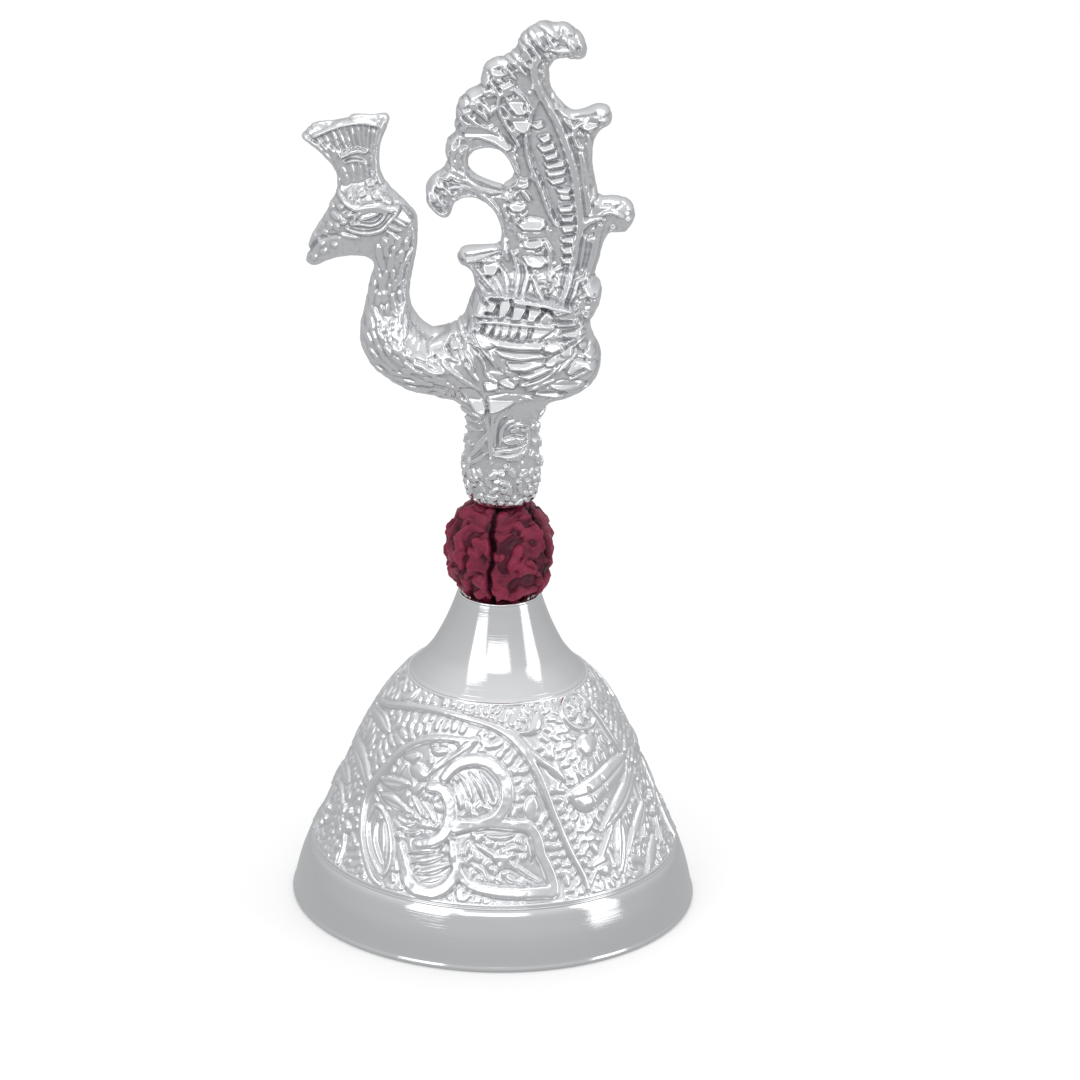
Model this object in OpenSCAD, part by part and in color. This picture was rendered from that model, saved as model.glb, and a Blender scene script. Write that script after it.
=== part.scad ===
// Hand bell for pooja: a cast cup bell with an embossed band, a rudraksha bead
// on the crown, a peacock handle, and a ball clapper hung from a wire ring.
// Millimetres. Origin at the centre of the mouth, +Z up along the bell's axis,
// the peacock faces -X and its tail stands toward +X.

/* [Bell] */
// Outside diameter of the mouth
mouth_d = 60; // [50:1:75]
// Height of the cup from the mouth to the top lip
cup_h = 48; // [40:0.5:60]
// Depth of the dished seat under the bead
seat_d = 2; // [0.5:0.1:3]
// Thickness of the cast wall
wall = 1.3; // [1.2:0.1:3]
// How far the embossed band stands out
band_t = 0.3; // [0.1:0.1:0.8]
// Height of the flat underside of the crown, where the washer bears
crown_z = 40.5; // [34:0.5:44]

/* [Rod and clamp] */
// Diameter of the threaded rod that holds the bell together
rod_d = 4; // [3:0.5:5]
// Height of the rod's upper end inside the handle
rod_top = 70; // [66:0.5:74]
// Washer diameter
washer_d = 9; // [8:0.5:10]
// Washer thickness
washer_t = 0.8; // [0.5:0.1:1.5]
// Nut width across the flats
nut_af = 7; // [5.5:0.5:8]
// Nut height
nut_h = 3.2; // [2.4:0.1:4]

/* [Bead] */
// Bead diameter at its middle
bead_d = 16.7; // [12:0.1:20]
// Height of the bead along its bore
bead_h = 16.4; // [12:0.1:20]
// Number of grooves that run from pole to pole
grooves = 5; // [3:1:7]

/* [Handle] */
// Overall height of the bell with its handle
total_h = 135; // [120:1:150]
// Thickness of the tail plate
tail_t = 5; // [3:0.5:8]
// Thickness of the crest
crest_t = 3.2; // [2:0.2:5]
// Depth of the tapped socket in the handle's foot
socket_l = 9.5; // [8:0.5:12]

/* [Clapper] */
// Centre height of the fixed eye on the rod
eye_z = 32.5; // [30:0.5:34]
// Mean radius of the fixed eye
eye_r = 2.3; // [2:0.1:3]
// Wire radius of the fixed eye
eye_w = 0.8; // [0.6:0.1:1]
// Mean radius of the hanger ring
ring_r = 2.6; // [2.2:0.1:3.4]
// Wire radius of the hanger ring
ring_w = 0.45; // [0.4:0.05:0.6]
// Mean radius of the clapper's eye
hook_r = 2.2; // [2:0.1:3]
// Wire radius of the clapper's eye
hook_w = 0.7; // [0.5:0.1:0.9]
// Distance from the clapper's pivot to the centre of its ball
arm = 19; // [15:0.5:20]
// Ball radius
ball_r = 4.5; // [3.5:0.1:5]

/* [Hidden] */
play = 0.05;                                  // gap where wires bear on each other
bore_r = rod_d / 2 + 0.05;                    // clearance bores for the rod
ks = mouth_d / 60;                            // radial scale of the cup
kz = cup_h / 48;                              // height scale of the cup
ring_top = eye_z - eye_r + eye_w + play + ring_w;  // centre of the ring's upper wire
ring_z = ring_top - ring_r;                   // ring centre
pivot_z = ring_z - ring_r;                    // centre of the ring's lower wire
hook_z = pivot_z + ring_w + play + hook_w - hook_r; // clapper eye centre
ball_z = pivot_z - arm;                       // ball centre
bead_z0 = cup_h - seat_d;                     // bead's lower end, in the dished seat
foot_z = bead_z0 + bead_h;                    // bottom of the handle's foot
dz = total_h - 135;                           // lifts the upper tail with the height

silver = [0.86, 0.86, 0.88];
steel = [0.62, 0.63, 0.65];
maroon = [0.36, 0.10, 0.16];

// smooth core of the cup's outside, [radius, height]
core = [[30, 0], [29.2, 3], [28.4, 6], [27.2, 9], [25.5, 12], [23.9, 16], [22.2, 20],
        [20.7, 24], [18.7, 28], [16.2, 32], [12.4, 36], [10, 39]];
// the same skin moved in by the wall thickness, square to the surface
function tang(i) = let (a = core[max(i - 1, 0)], b = core[min(i + 1, len(core) - 1)],
                        d = b - a) d / norm(d);
inner = [for (i = [1 : len(core) - 1]) [core[i].x * ks - wall * tang(i).y,
                                        core[i].y * kz + wall * tang(i).x]];

module upright(t) rotate([90, 0, 0]) linear_extrude(t, center = true) children();
module stud(x, z, r, t) translate([x, 0, z]) rotate([90, 0, 0])
    cylinder(r = r, h = t, center = true, $fn = 48);
module rounded(r) intersection() {
    union() children();
    translate([-16, 0, 88]) rotate([0, 90, 0]) cylinder(r = r, h = 34, $fn = 64);
}
module ball(x, z, r) translate([x, 0, z]) sphere(r, $fn = 32);

// cast cup: polished rim, raised band, flared neck and a dished seat for the bead
module bell_cup() color(silver) difference() {
    rotate_extrude($fn = 120) polygon(concat(
        [[29.6 * ks, 0], [30 * ks, 0.6], [29.8 * ks, 1.4], [29.2 * ks, 3], [28.4 * ks, 6],
         [27.6 * ks, 8.2]],
        [[27.4 * ks, 8.8 * kz], [27 * ks + band_t, 9.2 * kz], [25.3 * ks + band_t, 12 * kz],
         [23.8 * ks + band_t, 16 * kz], [22.1 * ks + band_t, 20 * kz],
         [20.6 * ks + band_t, 24 * kz], [18.6 * ks + band_t, 28 * kz],
         [16.1 * ks + band_t, 32 * kz], [13.2 * ks + band_t, 35.1 * kz],
         [12.9 * ks, 35.6 * kz], [12.1 * ks, 36.4 * kz], [10 * ks, 39 * kz],
         [8.8 * ks, 41 * kz], [8 * ks, 42.6 * kz], [7.4 * ks, 44 * kz],
         [6.9 * ks, 45.4 * kz], [6.45 * ks, cup_h - 1], [6.15 * ks, cup_h - 0.3],
         [5.95 * ks, cup_h], [5.7 * ks, cup_h], [5.2 * ks, cup_h - 0.6],
         [4.8 * ks, cup_h - 1.1], [4.2 * ks, cup_h - seat_d], [0, cup_h - seat_d]],
        [[0, crown_z], [5.4, crown_z], [6.4, crown_z - 0.6]],
        [for (i = [len(inner) - 1 : -1 : 0]) inner[i]],
        [[30 * ks - wall, 0]]));
    translate([0, 0, crown_z - 1]) cylinder(r = bore_r, h = cup_h, $fn = 48);
    // lathe lines on the neck
    for (z = [37.6, 41.8, 43.9]) translate([0, 0, z * kz]) rotate_extrude($fn = 120)
        translate([lookup(z, [[36.4, 12.1], [39, 10], [41, 8.8], [42.6, 8], [44, 7.4]]) * ks + 0.1, 0])
            circle(0.25, $fn = 16);
}

module crown_washer() color(steel) translate([0, 0, crown_z - washer_t]) difference() {
    cylinder(d = washer_d, h = washer_t, $fn = 64);
    translate([0, 0, -1]) cylinder(r = bore_r + 0.15, h = washer_t + 2, $fn = 48);
}

module crown_nut() color(steel) translate([0, 0, crown_z - washer_t - nut_h]) difference() {
    intersection() {
        linear_extrude(nut_h) polygon([for (i = [0 : 5])
            nut_af / sqrt(3) * [cos(60 * i + 30), sin(60 * i + 30)]]);
        rotate_extrude($fn = 64) polygon([[0, 0], [nut_af / 2, 0],
            [nut_af / sqrt(3) + 0.05, 0.45], [nut_af / sqrt(3) + 0.05, nut_h - 0.45],
            [nut_af / 2, nut_h], [0, nut_h]]);
    }
    translate([0, 0, -1]) cylinder(r = bore_r, h = nut_h + 2, $fn = 48);
}

// rod with a forged eye at its lower end; its thread is drawn plain
module eye_rod() color(steel) {
    translate([0, 0, eye_z]) rotate([90, 0, 0]) rotate_extrude($fn = 64)
        translate([eye_r, 0]) circle(eye_w, $fn = 32);
    rotate_extrude($fn = 48) polygon([[0, eye_z + eye_r - 0.3], [1.1, eye_z + eye_r - 0.3],
        [rod_d / 2, eye_z + eye_r + 1.1], [rod_d / 2, rod_top - 0.5],
        [rod_d / 2 - 0.5, rod_top], [0, rod_top]]);
}

// barrel-round seed with pole-to-pole grooves and a bore
module rudraksha_bead() color(maroon) translate([0, 0, bead_z0 + bead_h / 2]) difference() {
    rotate_extrude($fn = 96) polygon(concat([[0, -bead_h / 2]],
        [for (a = [-64 : 8 : 64]) [bead_d / 2 * pow(cos(a), a < 0 ? 1.35 : 0.72),
                                   bead_h / 2 * sin(a) / sin(64)]],
        [[0, bead_h / 2]]));
    for (i = [0 : grooves - 1]) rotate([0, 0, -100 + 360 / grooves * i])
        rotate([90, 0, 0]) rotate([0, 0, -60]) rotate_extrude(angle = 120, $fn = 96)
            translate([bead_d / 2 + 0.15, 0]) circle(0.6, $fn = 16);
    cylinder(r = bore_r, h = bead_h + 2, center = true, $fn = 48);
}

// one casting: foot with a tapped socket, bird, and a tail that stands behind it
module peacock_handle() color(silver) difference() {
    union() {
        // foot
        rotate_extrude($fn = 64) polygon([[0, foot_z], [4.5, foot_z], [4.9, foot_z + 0.6],
            [5.4, foot_z + 2.2], [5.7, foot_z + 3.8], [5.9, foot_z + 5.8], [5.7, foot_z + 7.6],
            [5.5, foot_z + 9.8], [5.4, foot_z + 12.2], [5.6, foot_z + 13.4],
            [6.1, foot_z + 14.6], [6.8, foot_z + 15.8], [6.8, 84], [0, 84]]);
        // body, neck, head and beak
        hull() { ball(-14.2, 84.8, 6.4); ball(-6, 83.8, 6.4); ball(4.5, 84.2, 6.3);
                 ball(8, 84.4, 5.4); }
        hull() { ball(-14.4, 86.2, 5.6); ball(-16.4, 93.4, 3.8); }
        hull() { ball(-16.4, 93.4, 3.8); ball(-16.3, 99, 3.4); }
        hull() { ball(-16.3, 99, 3.4); ball(-17.2, 103.9, 4.2); ball(-20.8, 105.9, 3.5); }
        hull() { ball(-22, 103.6, 2.9); ball(-27.9, 98.7, 0.9); }
        // crest with ribs
        upright(crest_t) polygon([[-24.3, 107.5], [-24.6, 110.5], [-25.6, 113], [-27.2, 114.8],
            [-29.4, 116.2], [-29.6, 117.2], [-28.2, 118.9], [-25, 119.6], [-22.1, 120.4],
            [-18.1, 120.6], [-17.2, 120.3], [-17, 119.3], [-18.1, 116.2], [-18.3, 113.5],
            [-17.4, 110.6], [-16, 108], [-20, 106]]);
        for (i = [0 : 4]) upright(crest_t + 0.8) polygon([
            [-24.1 + i * 1.25, 109.5], [-23.3 + i * 1.25, 109.5],
            [-25.6 + i * 1.9, 119 + i * 0.25], [-27 + i * 1.9, 118.4 + i * 0.3]]);
        // eyes
        stud(-18.6, 105.6, 1.5, 8);
        stud(-18.6, 105.6, 0.8, 8.8);
        // wings, rounded over, with two rows of short feathers above long ones
        rounded(7.5) upright(16) polygon([[-7.5, 88], [-5.5, 91.5], [-4.2, 94.5], [1, 95.4], [7, 94.8],
            [12, 93.4], [12.4, 91.6], [10.8, 89.6], [12.4, 86.6], [12.2, 83.6], [9, 81.4],
            [2, 82], [-5, 83.2], [-10, 85.6]]);
        rounded(8) for (i = [0 : 6]) upright(16) polygon([[-2.6 + i * 2.1, 92.2 - i * 0.15],
            [-1.6 + i * 2.1, 92.2 - i * 0.15], [-0.7 + i * 2.1, 94.5 - i * 0.2],
            [-1.7 + i * 2.1, 94.5 - i * 0.2]]);
        rounded(8) for (i = [0 : 6]) upright(16) polygon([[-4.4 + i * 2.1, 88.9 - i * 0.15],
            [-3.4 + i * 2.1, 88.9 - i * 0.15], [-2.5 + i * 2.1, 91.2 - i * 0.2],
            [-3.5 + i * 2.1, 91.2 - i * 0.2]]);
        rounded(7.9) for (i = [0 : 3]) upright(16) polygon([[-8 + i * 1.8, 86.8 - i * 1.2],
            [-8 + i * 1.8, 86.2 - i * 1.2], [2 + i * 0.6, 85.6 - i * 1.1],
            [11.6, 87.4 - i * 1.6], [11.6, 88 - i * 1.6], [2 + i * 0.6, 86.2 - i * 1.1]]);
        // tail plate
        upright(tail_t) polygon([[9, 84], [12, 90], [13, 91.5], [14, 94.5], [13, 97],
            [13.6, 99.5], [14.3, 102.4], [14.6, 103.4], [13.4, 109], [12.8, 111.2],
            [12.3, 113.5], [12.2, 116], [12.5, 117.6], [11.6, 119.4], [9, 121.6],
            [8, 122.4], [6.7, 123.8], [5.9, 125.8], [5.8, 128], [7.4, 129.2],
            [8, 132 + dz], [7.3, 134.2 + dz], [5, total_h], [3, 134.2 + dz], [1.4, 133 + dz],
            [0.7, 131.3 + dz], [-1.9, 129.3], [-3.7, 128.2], [-4.3, 126.3], [-4.6, 125.1],
            [-6.2, 124.2], [-7.6, 122.5], [-7.9, 119], [-8.8, 117.2], [-9.2, 115.2],
            [-8.9, 114], [-9.3, 112.8], [-10.7, 111.6], [-10.6, 109], [-8.4, 108],
            [-6.6, 108], [-5.2, 108.2], [-3.3, 107.5], [-1.8, 106], [-0.9, 103.9],
            [-0.9, 102.4], [-1.6, 101.4], [-5.8, 100.9], [-6.9, 100.3], [-7.2, 99.4],
            [-6.8, 98.4], [-5.3, 97.3], [-4.8, 95.8], [-4.7, 94.2], [-5.5, 91.5],
            [-4, 86]]);
        // long middle feather with its two ribs and cross bars
        upright(tail_t + 1.4) polygon([[1.6, 119.6], [2.6, 121.6], [4.8, 121.8], [6, 120],
            [8.2, 111], [11, 101], [12.6, 94.5], [8, 93], [5.4, 100], [3, 110]]);
        for (i = [0 : 9]) upright(tail_t + 2.2) polygon([[3.6 + i * 0.55, 117.4 - i * 2.35],
            [5.6 + i * 0.6, 117.6 - i * 2.35], [5.7 + i * 0.6, 116.7 - i * 2.35],
            [3.7 + i * 0.55, 116.5 - i * 2.35]]);
        // curled feather ends
        stud(15.7, 106.2, 2.75, 6);
        stud(15.9, 106.2, 1.3, 7);
        stud(12.8, 120.6, 2, 6);
        stud(7.9, 131.8, 2.6, 6);
        stud(8.1, 131.8, 1.2, 7);
        stud(12, 94.6, 2.1, 6.4);
        stud(-9.4, 108.4, 2.6, 6);
        stud(-9.4, 108.2, 1.2, 7);
        stud(-5.4, 99.2, 1.8, 6);
        stud(-5.4, 121.4, 2.4, 6.4);
        stud(-1.6, 126.6, 2.7, 6.4);
        stud(3.6, 131.6, 2.6, 6.2);
        stud(-6.6, 115.2, 2.5, 6.2);
    }
    // finger hole in the tail
    upright(20) polygon([[-5.4, 113], [-5.2, 114.4], [-4.4, 115.3], [-2.8, 115.6],
        [-1.1, 115], [0, 113.7], [0.5, 112.3], [0.3, 111.3], [-0.8, 110.7],
        [-2.4, 110.8], [-4.2, 111.4]]);
    // tapped socket for the rod
    translate([0, 0, foot_z - 1]) cylinder(r = bore_r, h = socket_l + 1, $fn = 48);
}

module hanger_ring() color(steel) translate([0, 0, ring_z]) rotate([0, 90, 0])
    rotate_extrude($fn = 64) translate([ring_r, 0]) circle(ring_w, $fn = 24);

// shank bent into an eye, with a riveted lower end
module clapper_rod() color(steel) {
    translate([0, 0, hook_z]) rotate([90, 0, 0]) rotate_extrude($fn = 64)
        translate([hook_r, 0]) circle(hook_w, $fn = 32);
    rotate_extrude($fn = 32) polygon([[0, ball_z - ball_r - 0.6], [1.1, ball_z - ball_r - 0.6],
        [1.5, ball_z - ball_r - 0.2], [1.5, ball_z - ball_r + 0.2], [0.9, ball_z - ball_r + 0.2],
        [0.9, hook_z - hook_r], [0, hook_z - hook_r]]);
}

module clapper_ball() color(steel) difference() {
    translate([0, 0, ball_z]) sphere(ball_r, $fn = 64);
    translate([0, 0, ball_z - 10]) cylinder(r = 0.93, h = 20, $fn = 32);
    translate([0, 0, ball_z - ball_r - 1]) cylinder(r = 1.55, h = 1.25, $fn = 32);
}

bell_cup();
crown_washer();
crown_nut();
eye_rod();
rudraksha_bead();
peacock_handle();
hanger_ring();
clapper_rod();
clapper_ball();
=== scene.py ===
import math

import bpy
import numpy as np
from mathutils import Matrix, Vector


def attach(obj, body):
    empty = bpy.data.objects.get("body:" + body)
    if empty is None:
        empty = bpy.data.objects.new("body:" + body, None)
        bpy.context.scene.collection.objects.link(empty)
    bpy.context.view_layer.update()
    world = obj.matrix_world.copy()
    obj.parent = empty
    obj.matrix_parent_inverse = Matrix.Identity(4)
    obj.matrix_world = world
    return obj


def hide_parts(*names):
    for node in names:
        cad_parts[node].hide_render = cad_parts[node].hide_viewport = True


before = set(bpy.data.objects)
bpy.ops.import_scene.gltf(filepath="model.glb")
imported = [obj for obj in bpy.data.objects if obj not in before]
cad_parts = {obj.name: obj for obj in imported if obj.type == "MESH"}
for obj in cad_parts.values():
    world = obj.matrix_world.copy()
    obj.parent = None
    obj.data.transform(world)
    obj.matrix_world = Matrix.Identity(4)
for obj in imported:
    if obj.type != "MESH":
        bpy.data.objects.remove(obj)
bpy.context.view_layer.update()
MM = 0.001
rng = np.random.default_rng(7)


# ---------------------------------------------------------------- drawing tools
def smooth(P, n=4, closed=True):
    """Catmull-Rom through the points."""
    P = np.array(P, float)
    m = len(P)
    out = []
    for i in range(m if closed else m - 1):
        if closed:
            a, b, c, d = P[(i - 1) % m], P[i], P[(i + 1) % m], P[(i + 2) % m]
        else:
            a, b, c, d = P[max(i - 1, 0)], P[i], P[i + 1], P[min(i + 2, m - 1)]
        for k in range(n):
            t = k / n
            out.append(0.5 * (2 * b + (c - a) * t + (2 * a - 5 * b + 4 * c - d) * t * t
                              + (3 * b - a - 3 * c + d) * t ** 3))
    if not closed:
        out.append(P[-1])
    return np.array(out)


def step(a, b, x):
    t = np.clip((x - a) / (b - a), 0, 1)
    return t * t * (3 - 2 * t)


class Sheet:
    """A height map in millimetres that strokes, leaves and bumps are drawn on."""

    def __init__(s, x0, x1, z0, z1, h):
        s.h, s.x0, s.z0 = h, x0, z0
        s.x = x0 + h * np.arange(int(round((x1 - x0) / h)) + 1)
        s.z = z0 + h * np.arange(int(round((z1 - z0) / h)) + 1)
        s.shape = (len(s.x), len(s.z))

    def zeros(s):
        return np.zeros(s.shape, np.float32)

    def window(s, P, m):
        P = np.atleast_2d(np.array(P, float))
        lo = np.floor((P.min(0) - m - [s.x0, s.z0]) / s.h).astype(int)
        hi = np.ceil((P.max(0) + m - [s.x0, s.z0]) / s.h).astype(int) + 1
        lo, hi = np.maximum(lo, 0), np.minimum(np.maximum(hi, 0), s.shape)
        w = (slice(lo[0], max(hi[0], lo[0])), slice(lo[1], max(hi[1], lo[1])))
        return w, s.x[w[0]][:, None], s.z[w[1]][None, :]

    def dist(s, P, m):
        """Distance to an open line inside a window, and how far along the line (0 to 1)."""
        P = np.array(P, float)
        w, X, Z = s.window(P, m)
        best = np.full((X.shape[0], Z.shape[1]), 1e9)
        along = np.zeros_like(best)
        seg = np.hypot(*np.diff(P, axis=0).T)
        total, done = seg.sum() + 1e-9, 0.0
        for a, b, L in zip(P[:-1], P[1:], seg):
            d = b - a
            t = np.clip(((X - a[0]) * d[0] + (Z - a[1]) * d[1]) / (L * L + 1e-12), 0, 1)
            q = np.hypot(X - a[0] - t * d[0], Z - a[1] - t * d[1])
            near = q < best
            best = np.where(near, q, best)
            along = np.where(near, (done + t * L) / total, along)
            done += L
        return w, best, along

    def poly(s, P, m=8.0):
        """Signed distance to a closed outline, positive inside, cut off at m."""
        P = np.array(P, float)
        d = np.full(s.shape, m, np.float32)
        inside = np.zeros(s.shape, bool)
        for a, b in zip(P, np.roll(P, -1, 0)):
            w, X, Z = s.window([a, b], m)
            e = b - a
            t = np.clip(((X - a[0]) * e[0] + (Z - a[1]) * e[1]) / (e @ e + 1e-12), 0, 1)
            q = np.hypot(X - a[0] - t * e[0], Z - a[1] - t * e[1])
            d[w] = np.minimum(d[w], q)
            if a[1] != b[1]:
                rows = np.where((s.z >= min(a[1], b[1])) & (s.z < max(a[1], b[1])))[0]
                if len(rows):
                    xc = a[0] + (s.z[rows] - a[1]) / (b[1] - a[1]) * (b[0] - a[0])
                    inside[:, rows] ^= s.x[:, None] < xc[None, :]
        return np.where(inside, d, -d)

    def ridge(s, H, P, w, a, taper=0.0, flat=0.0, line=None):
        """A raised round stroke of half-width w and height a. taper thins its ends."""
        W, q, t = s.dist(P, w + 0.6)
        ww = w * (1 - taper * np.abs(2 * t - 1) ** 2)
        k = np.clip((q / ww - flat) / (1 - flat), 0, 1)
        H[W] = np.maximum(H[W], a * np.sqrt(np.clip(1 - k * k, 0, 1)))
        if line is not None:
            line[W] = np.minimum(line[W], q - ww)

    def groove(s, H, P, w, a, taper=0.0):
        W, q, t = s.dist(P, 2.6 * w)
        H[W] -= a * np.exp(-((q / w) ** 2)) * (1 - taper * np.abs(2 * t - 1) ** 2)

    def bump(s, H, c, la, lb, ang, a, tilt=0.0):
        """An oval bump, half-lengths la and lb, turned by ang. tilt makes its lower side
        the higher one, so that it faces up."""
        W, X, Z = s.window([c], max(la, lb))
        u = (X - c[0]) * math.cos(ang) + (Z - c[1]) * math.sin(ang)
        v = -(X - c[0]) * math.sin(ang) + (Z - c[1]) * math.cos(ang)
        k = (np.abs(u) / la) ** 2.4 + (np.abs(v) / lb) ** 2.4
        h = a * np.clip(1.9 * (1 - k), 0, 1) ** 0.5
        if tilt:
            h = h * (1 - tilt * (Z - c[1]) / max(abs(la * math.sin(ang)), abs(lb * math.cos(ang))))
        H[W] = np.maximum(H[W], h)

    def facet(s, H, P, tilt, a=0.42, soft=0.13, cut=0.2):
        """A flat raised patch that leans back so that it faces up, with a sharp line round it."""
        P = np.array(P, float)
        w, X, Z = s.window(P, 1.2)
        q = np.full((X.shape[0], Z.shape[1]), 1e9)
        inside = np.zeros_like(q, bool)
        for c, d in zip(P, np.roll(P, -1, 0)):
            e = d - c
            t = np.clip(((X - c[0]) * e[0] + (Z - c[1]) * e[1]) / (e @ e + 1e-12), 0, 1)
            q = np.minimum(q, np.hypot(X - c[0] - t * e[0], Z - c[1] - t * e[1]))
            if c[1] != d[1]:
                row = (Z >= min(c[1], d[1])) & (Z < max(c[1], d[1]))
                inside ^= row & (X < c[0] + (Z - c[1]) / (d[1] - c[1]) * (d[0] - c[0]))
        q = np.where(inside, q, -q) + 0.17
        top = np.maximum(0.12, a - tilt * (Z - P[:, 1].mean()))
        h = top * np.sqrt(np.clip(q / soft, 0, 1))
        H[w] = np.where(q > 0, np.where(q > 0.5 * soft, h, np.maximum(h, H[w])), H[w] - cut * np.exp(-((q + 0.15) / 0.12) ** 2))

    def sample(s, H, x, z):
        fx = np.clip((x - s.x0) / s.h, 0, s.shape[0] - 1.001)
        fz = np.clip((z - s.z0) / s.h, 0, s.shape[1] - 1.001)
        i, j = fx.astype(int), fz.astype(int)
        fx, fz = fx - i, fz - j
        return (H[i, j] * (1 - fx) * (1 - fz) + H[i + 1, j] * fx * (1 - fz)
                + H[i, j + 1] * (1 - fx) * fz + H[i + 1, j + 1] * fx * fz)

    def noise(s, size, seed):
        """Smooth random heights from -1 to 1 with lumps of about that size."""
        g = np.random.default_rng(seed).uniform(-1, 1, (int(s.shape[0] * s.h / size) + 4,
                                                       int(s.shape[1] * s.h / size) + 4))
        X = (s.x - s.x0)[:, None] / size + 1 + 0 * s.z[None, :]
        Z = (s.z - s.z0)[None, :] / size + 1 + 0 * s.x[:, None]
        i, j = X.astype(int), Z.astype(int)
        u, v = step(0, 1, X - i), step(0, 1, Z - j)
        return (g[i, j] * (1 - u) * (1 - v) + g[i + 1, j] * u * (1 - v)
                + g[i, j + 1] * (1 - u) * v + g[i + 1, j + 1] * u * v).astype(np.float32)


def blur(H, n):
    """Box blur, n cells each way, twice."""
    for _ in range(2):
        for ax in (0, 1):
            c = np.cumsum(np.pad(H, [(n + 1, n) if k == ax else (0, 0) for k in (0, 1)],
                                 mode="edge"), axis=ax, dtype=np.float64)
            a = np.take(c, range(2 * n + 1, c.shape[ax]), axis=ax)
            b = np.take(c, range(0, c.shape[ax] - 2 * n - 1), axis=ax)
            H = (a - b) / (2 * n + 1)
    return H.astype(np.float32)


# ---------------------------------------------------------------- mesh tools
def make(name, V, F, N=None, attrs=None, body="bell", nodes=(), slot=None, mat=None):
    """A mesh piece from millimetre points, quads, own normals and point attributes."""
    me = bpy.data.meshes.new(name)
    V = np.ascontiguousarray(V, np.float32) * MM
    F = np.ascontiguousarray(F, np.int32)
    k = F.shape[1]
    me.vertices.add(len(V))
    me.vertices.foreach_set("co", V.ravel())
    me.loops.add(F.size)
    me.loops.foreach_set("vertex_index", F.ravel())
    me.polygons.add(len(F))
    me.polygons.foreach_set("loop_start", np.arange(0, F.size, k, dtype=np.int32))
    me.polygons.foreach_set("loop_total", np.full(len(F), k, np.int32))
    me.update(calc_edges=True)
    me.validate()
    me.polygons.foreach_set("use_smooth", np.ones(len(me.polygons), bool))
    for key, val in (attrs or {}).items():
        a = me.attributes.new(key, "FLOAT", "POINT")
        a.data.foreach_set("value", np.ascontiguousarray(val, np.float32))
    if N is not None:
        me.normals_split_custom_set_from_vertices(np.ascontiguousarray(N, np.float32))
    ob = bpy.data.objects.new(name, me)
    bpy.context.scene.collection.objects.link(ob)
    if mat:
        me.materials.append(mat)
    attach(ob, body)
    for n in nodes:
        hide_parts(n)
    return ob


def unit(N):
    return N / np.maximum(np.linalg.norm(N, axis=-1, keepdims=True), 1e-12)


def grid_normals(P, wrap=True):
    """Normals of a grid of points P[i, j], i running round the axis."""
    if wrap:
        du = np.roll(P, -1, 0) - np.roll(P, 1, 0)
    else:
        du = np.gradient(P, axis=0)
    dv = np.gradient(P, axis=1)
    return unit(np.cross(du, dv))


def grid_faces(n, m, wrap=True, flip=False):
    i = np.arange(n if wrap else n - 1)[:, None]
    j = np.arange(m - 1)[None, :]
    i2 = (i + 1) % n
    a, b, c, d = i * m + j, i2 * m + j, i2 * m + j + 1, i * m + j + 1
    q = np.stack([a + 0 * b, b + 0 * a, c, d + 0 * c], -1).reshape(-1, 4)
    return q[:, ::-1] if flip else q


def profile_points(parts):
    """Points and outward normals of a turned profile. Each part is a smooth run of
    (r, z); parts meet in a sharp edge."""
    out = []
    for P in parts:
        P = np.array(P, float)
        T = np.gradient(P, axis=0)
        N = unit(np.stack([T[:, 1], -T[:, 0]], -1))
        out.append((P, N))
    return out


def turned(name, parts, n, **kw):
    """A turned piece: every part is a strip of its own, so its edges stay sharp."""
    Vs, Fs, Ns, base = [], [], [], 0
    ang = np.linspace(0, 2 * np.pi, n, endpoint=False)
    for P, N in profile_points(parts):
        c, s_ = np.cos(ang)[:, None], np.sin(ang)[:, None]
        V = np.stack([c * P[:, 0], s_ * P[:, 0], P[:, 1] + 0 * c], -1)
        M = np.stack([c * N[:, 0], s_ * N[:, 0], N[:, 1] + 0 * c], -1)
        Vs.append(V.reshape(-1, 3)); Ns.append(M.reshape(-1, 3))
        Fs.append(grid_faces(n, len(P)) + base)
        base += n * len(P)
    return make(name, np.concatenate(Vs), np.concatenate(Fs), np.concatenate(Ns), **kw)


def run(P, h):
    """Resample a smooth run of (r, z) at spacing h."""
    Q = smooth(P, 12, closed=False)
    L = np.r_[0, np.cumsum(np.hypot(*np.diff(Q, axis=0).T))]
    t = np.linspace(0, L[-1], max(3, int(L[-1] / h) + 1))
    return np.stack([np.interp(t, L, Q[:, 0]), np.interp(t, L, Q[:, 1])], -1)


# ---------------------------------------------------------------- materials
def nodes_of(mat):
    mat.use_nodes = True
    t = mat.node_tree
    t.nodes.clear()
    out = t.nodes.new("ShaderNodeOutputMaterial")
    b = t.nodes.new("ShaderNodeBsdfPrincipled")
    t.links.new(b.outputs[0], out.inputs[0])
    return t, b


def add(t, kind, **vals):
    n = t.nodes.new(kind)
    for k, v in vals.items():
        if k.startswith("_"):
            setattr(n, k[1:], v)
        else:
            n.inputs[int(k[1:]) if k[0] == "i" and k[1:].isdigit() else k].default_value = v
    return n


def ramp(t, fac, stops):
    r = t.nodes.new("ShaderNodeValToRGB")
    e = r.color_ramp.elements
    while len(e) < len(stops):
        e.new(0.5)
    for el, (p, c) in zip(e, stops):
        el.position = p
        el.color = (*c, 1) if len(c) == 3 else c
    t.links.new(fac, r.inputs[0])
    return r


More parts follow.
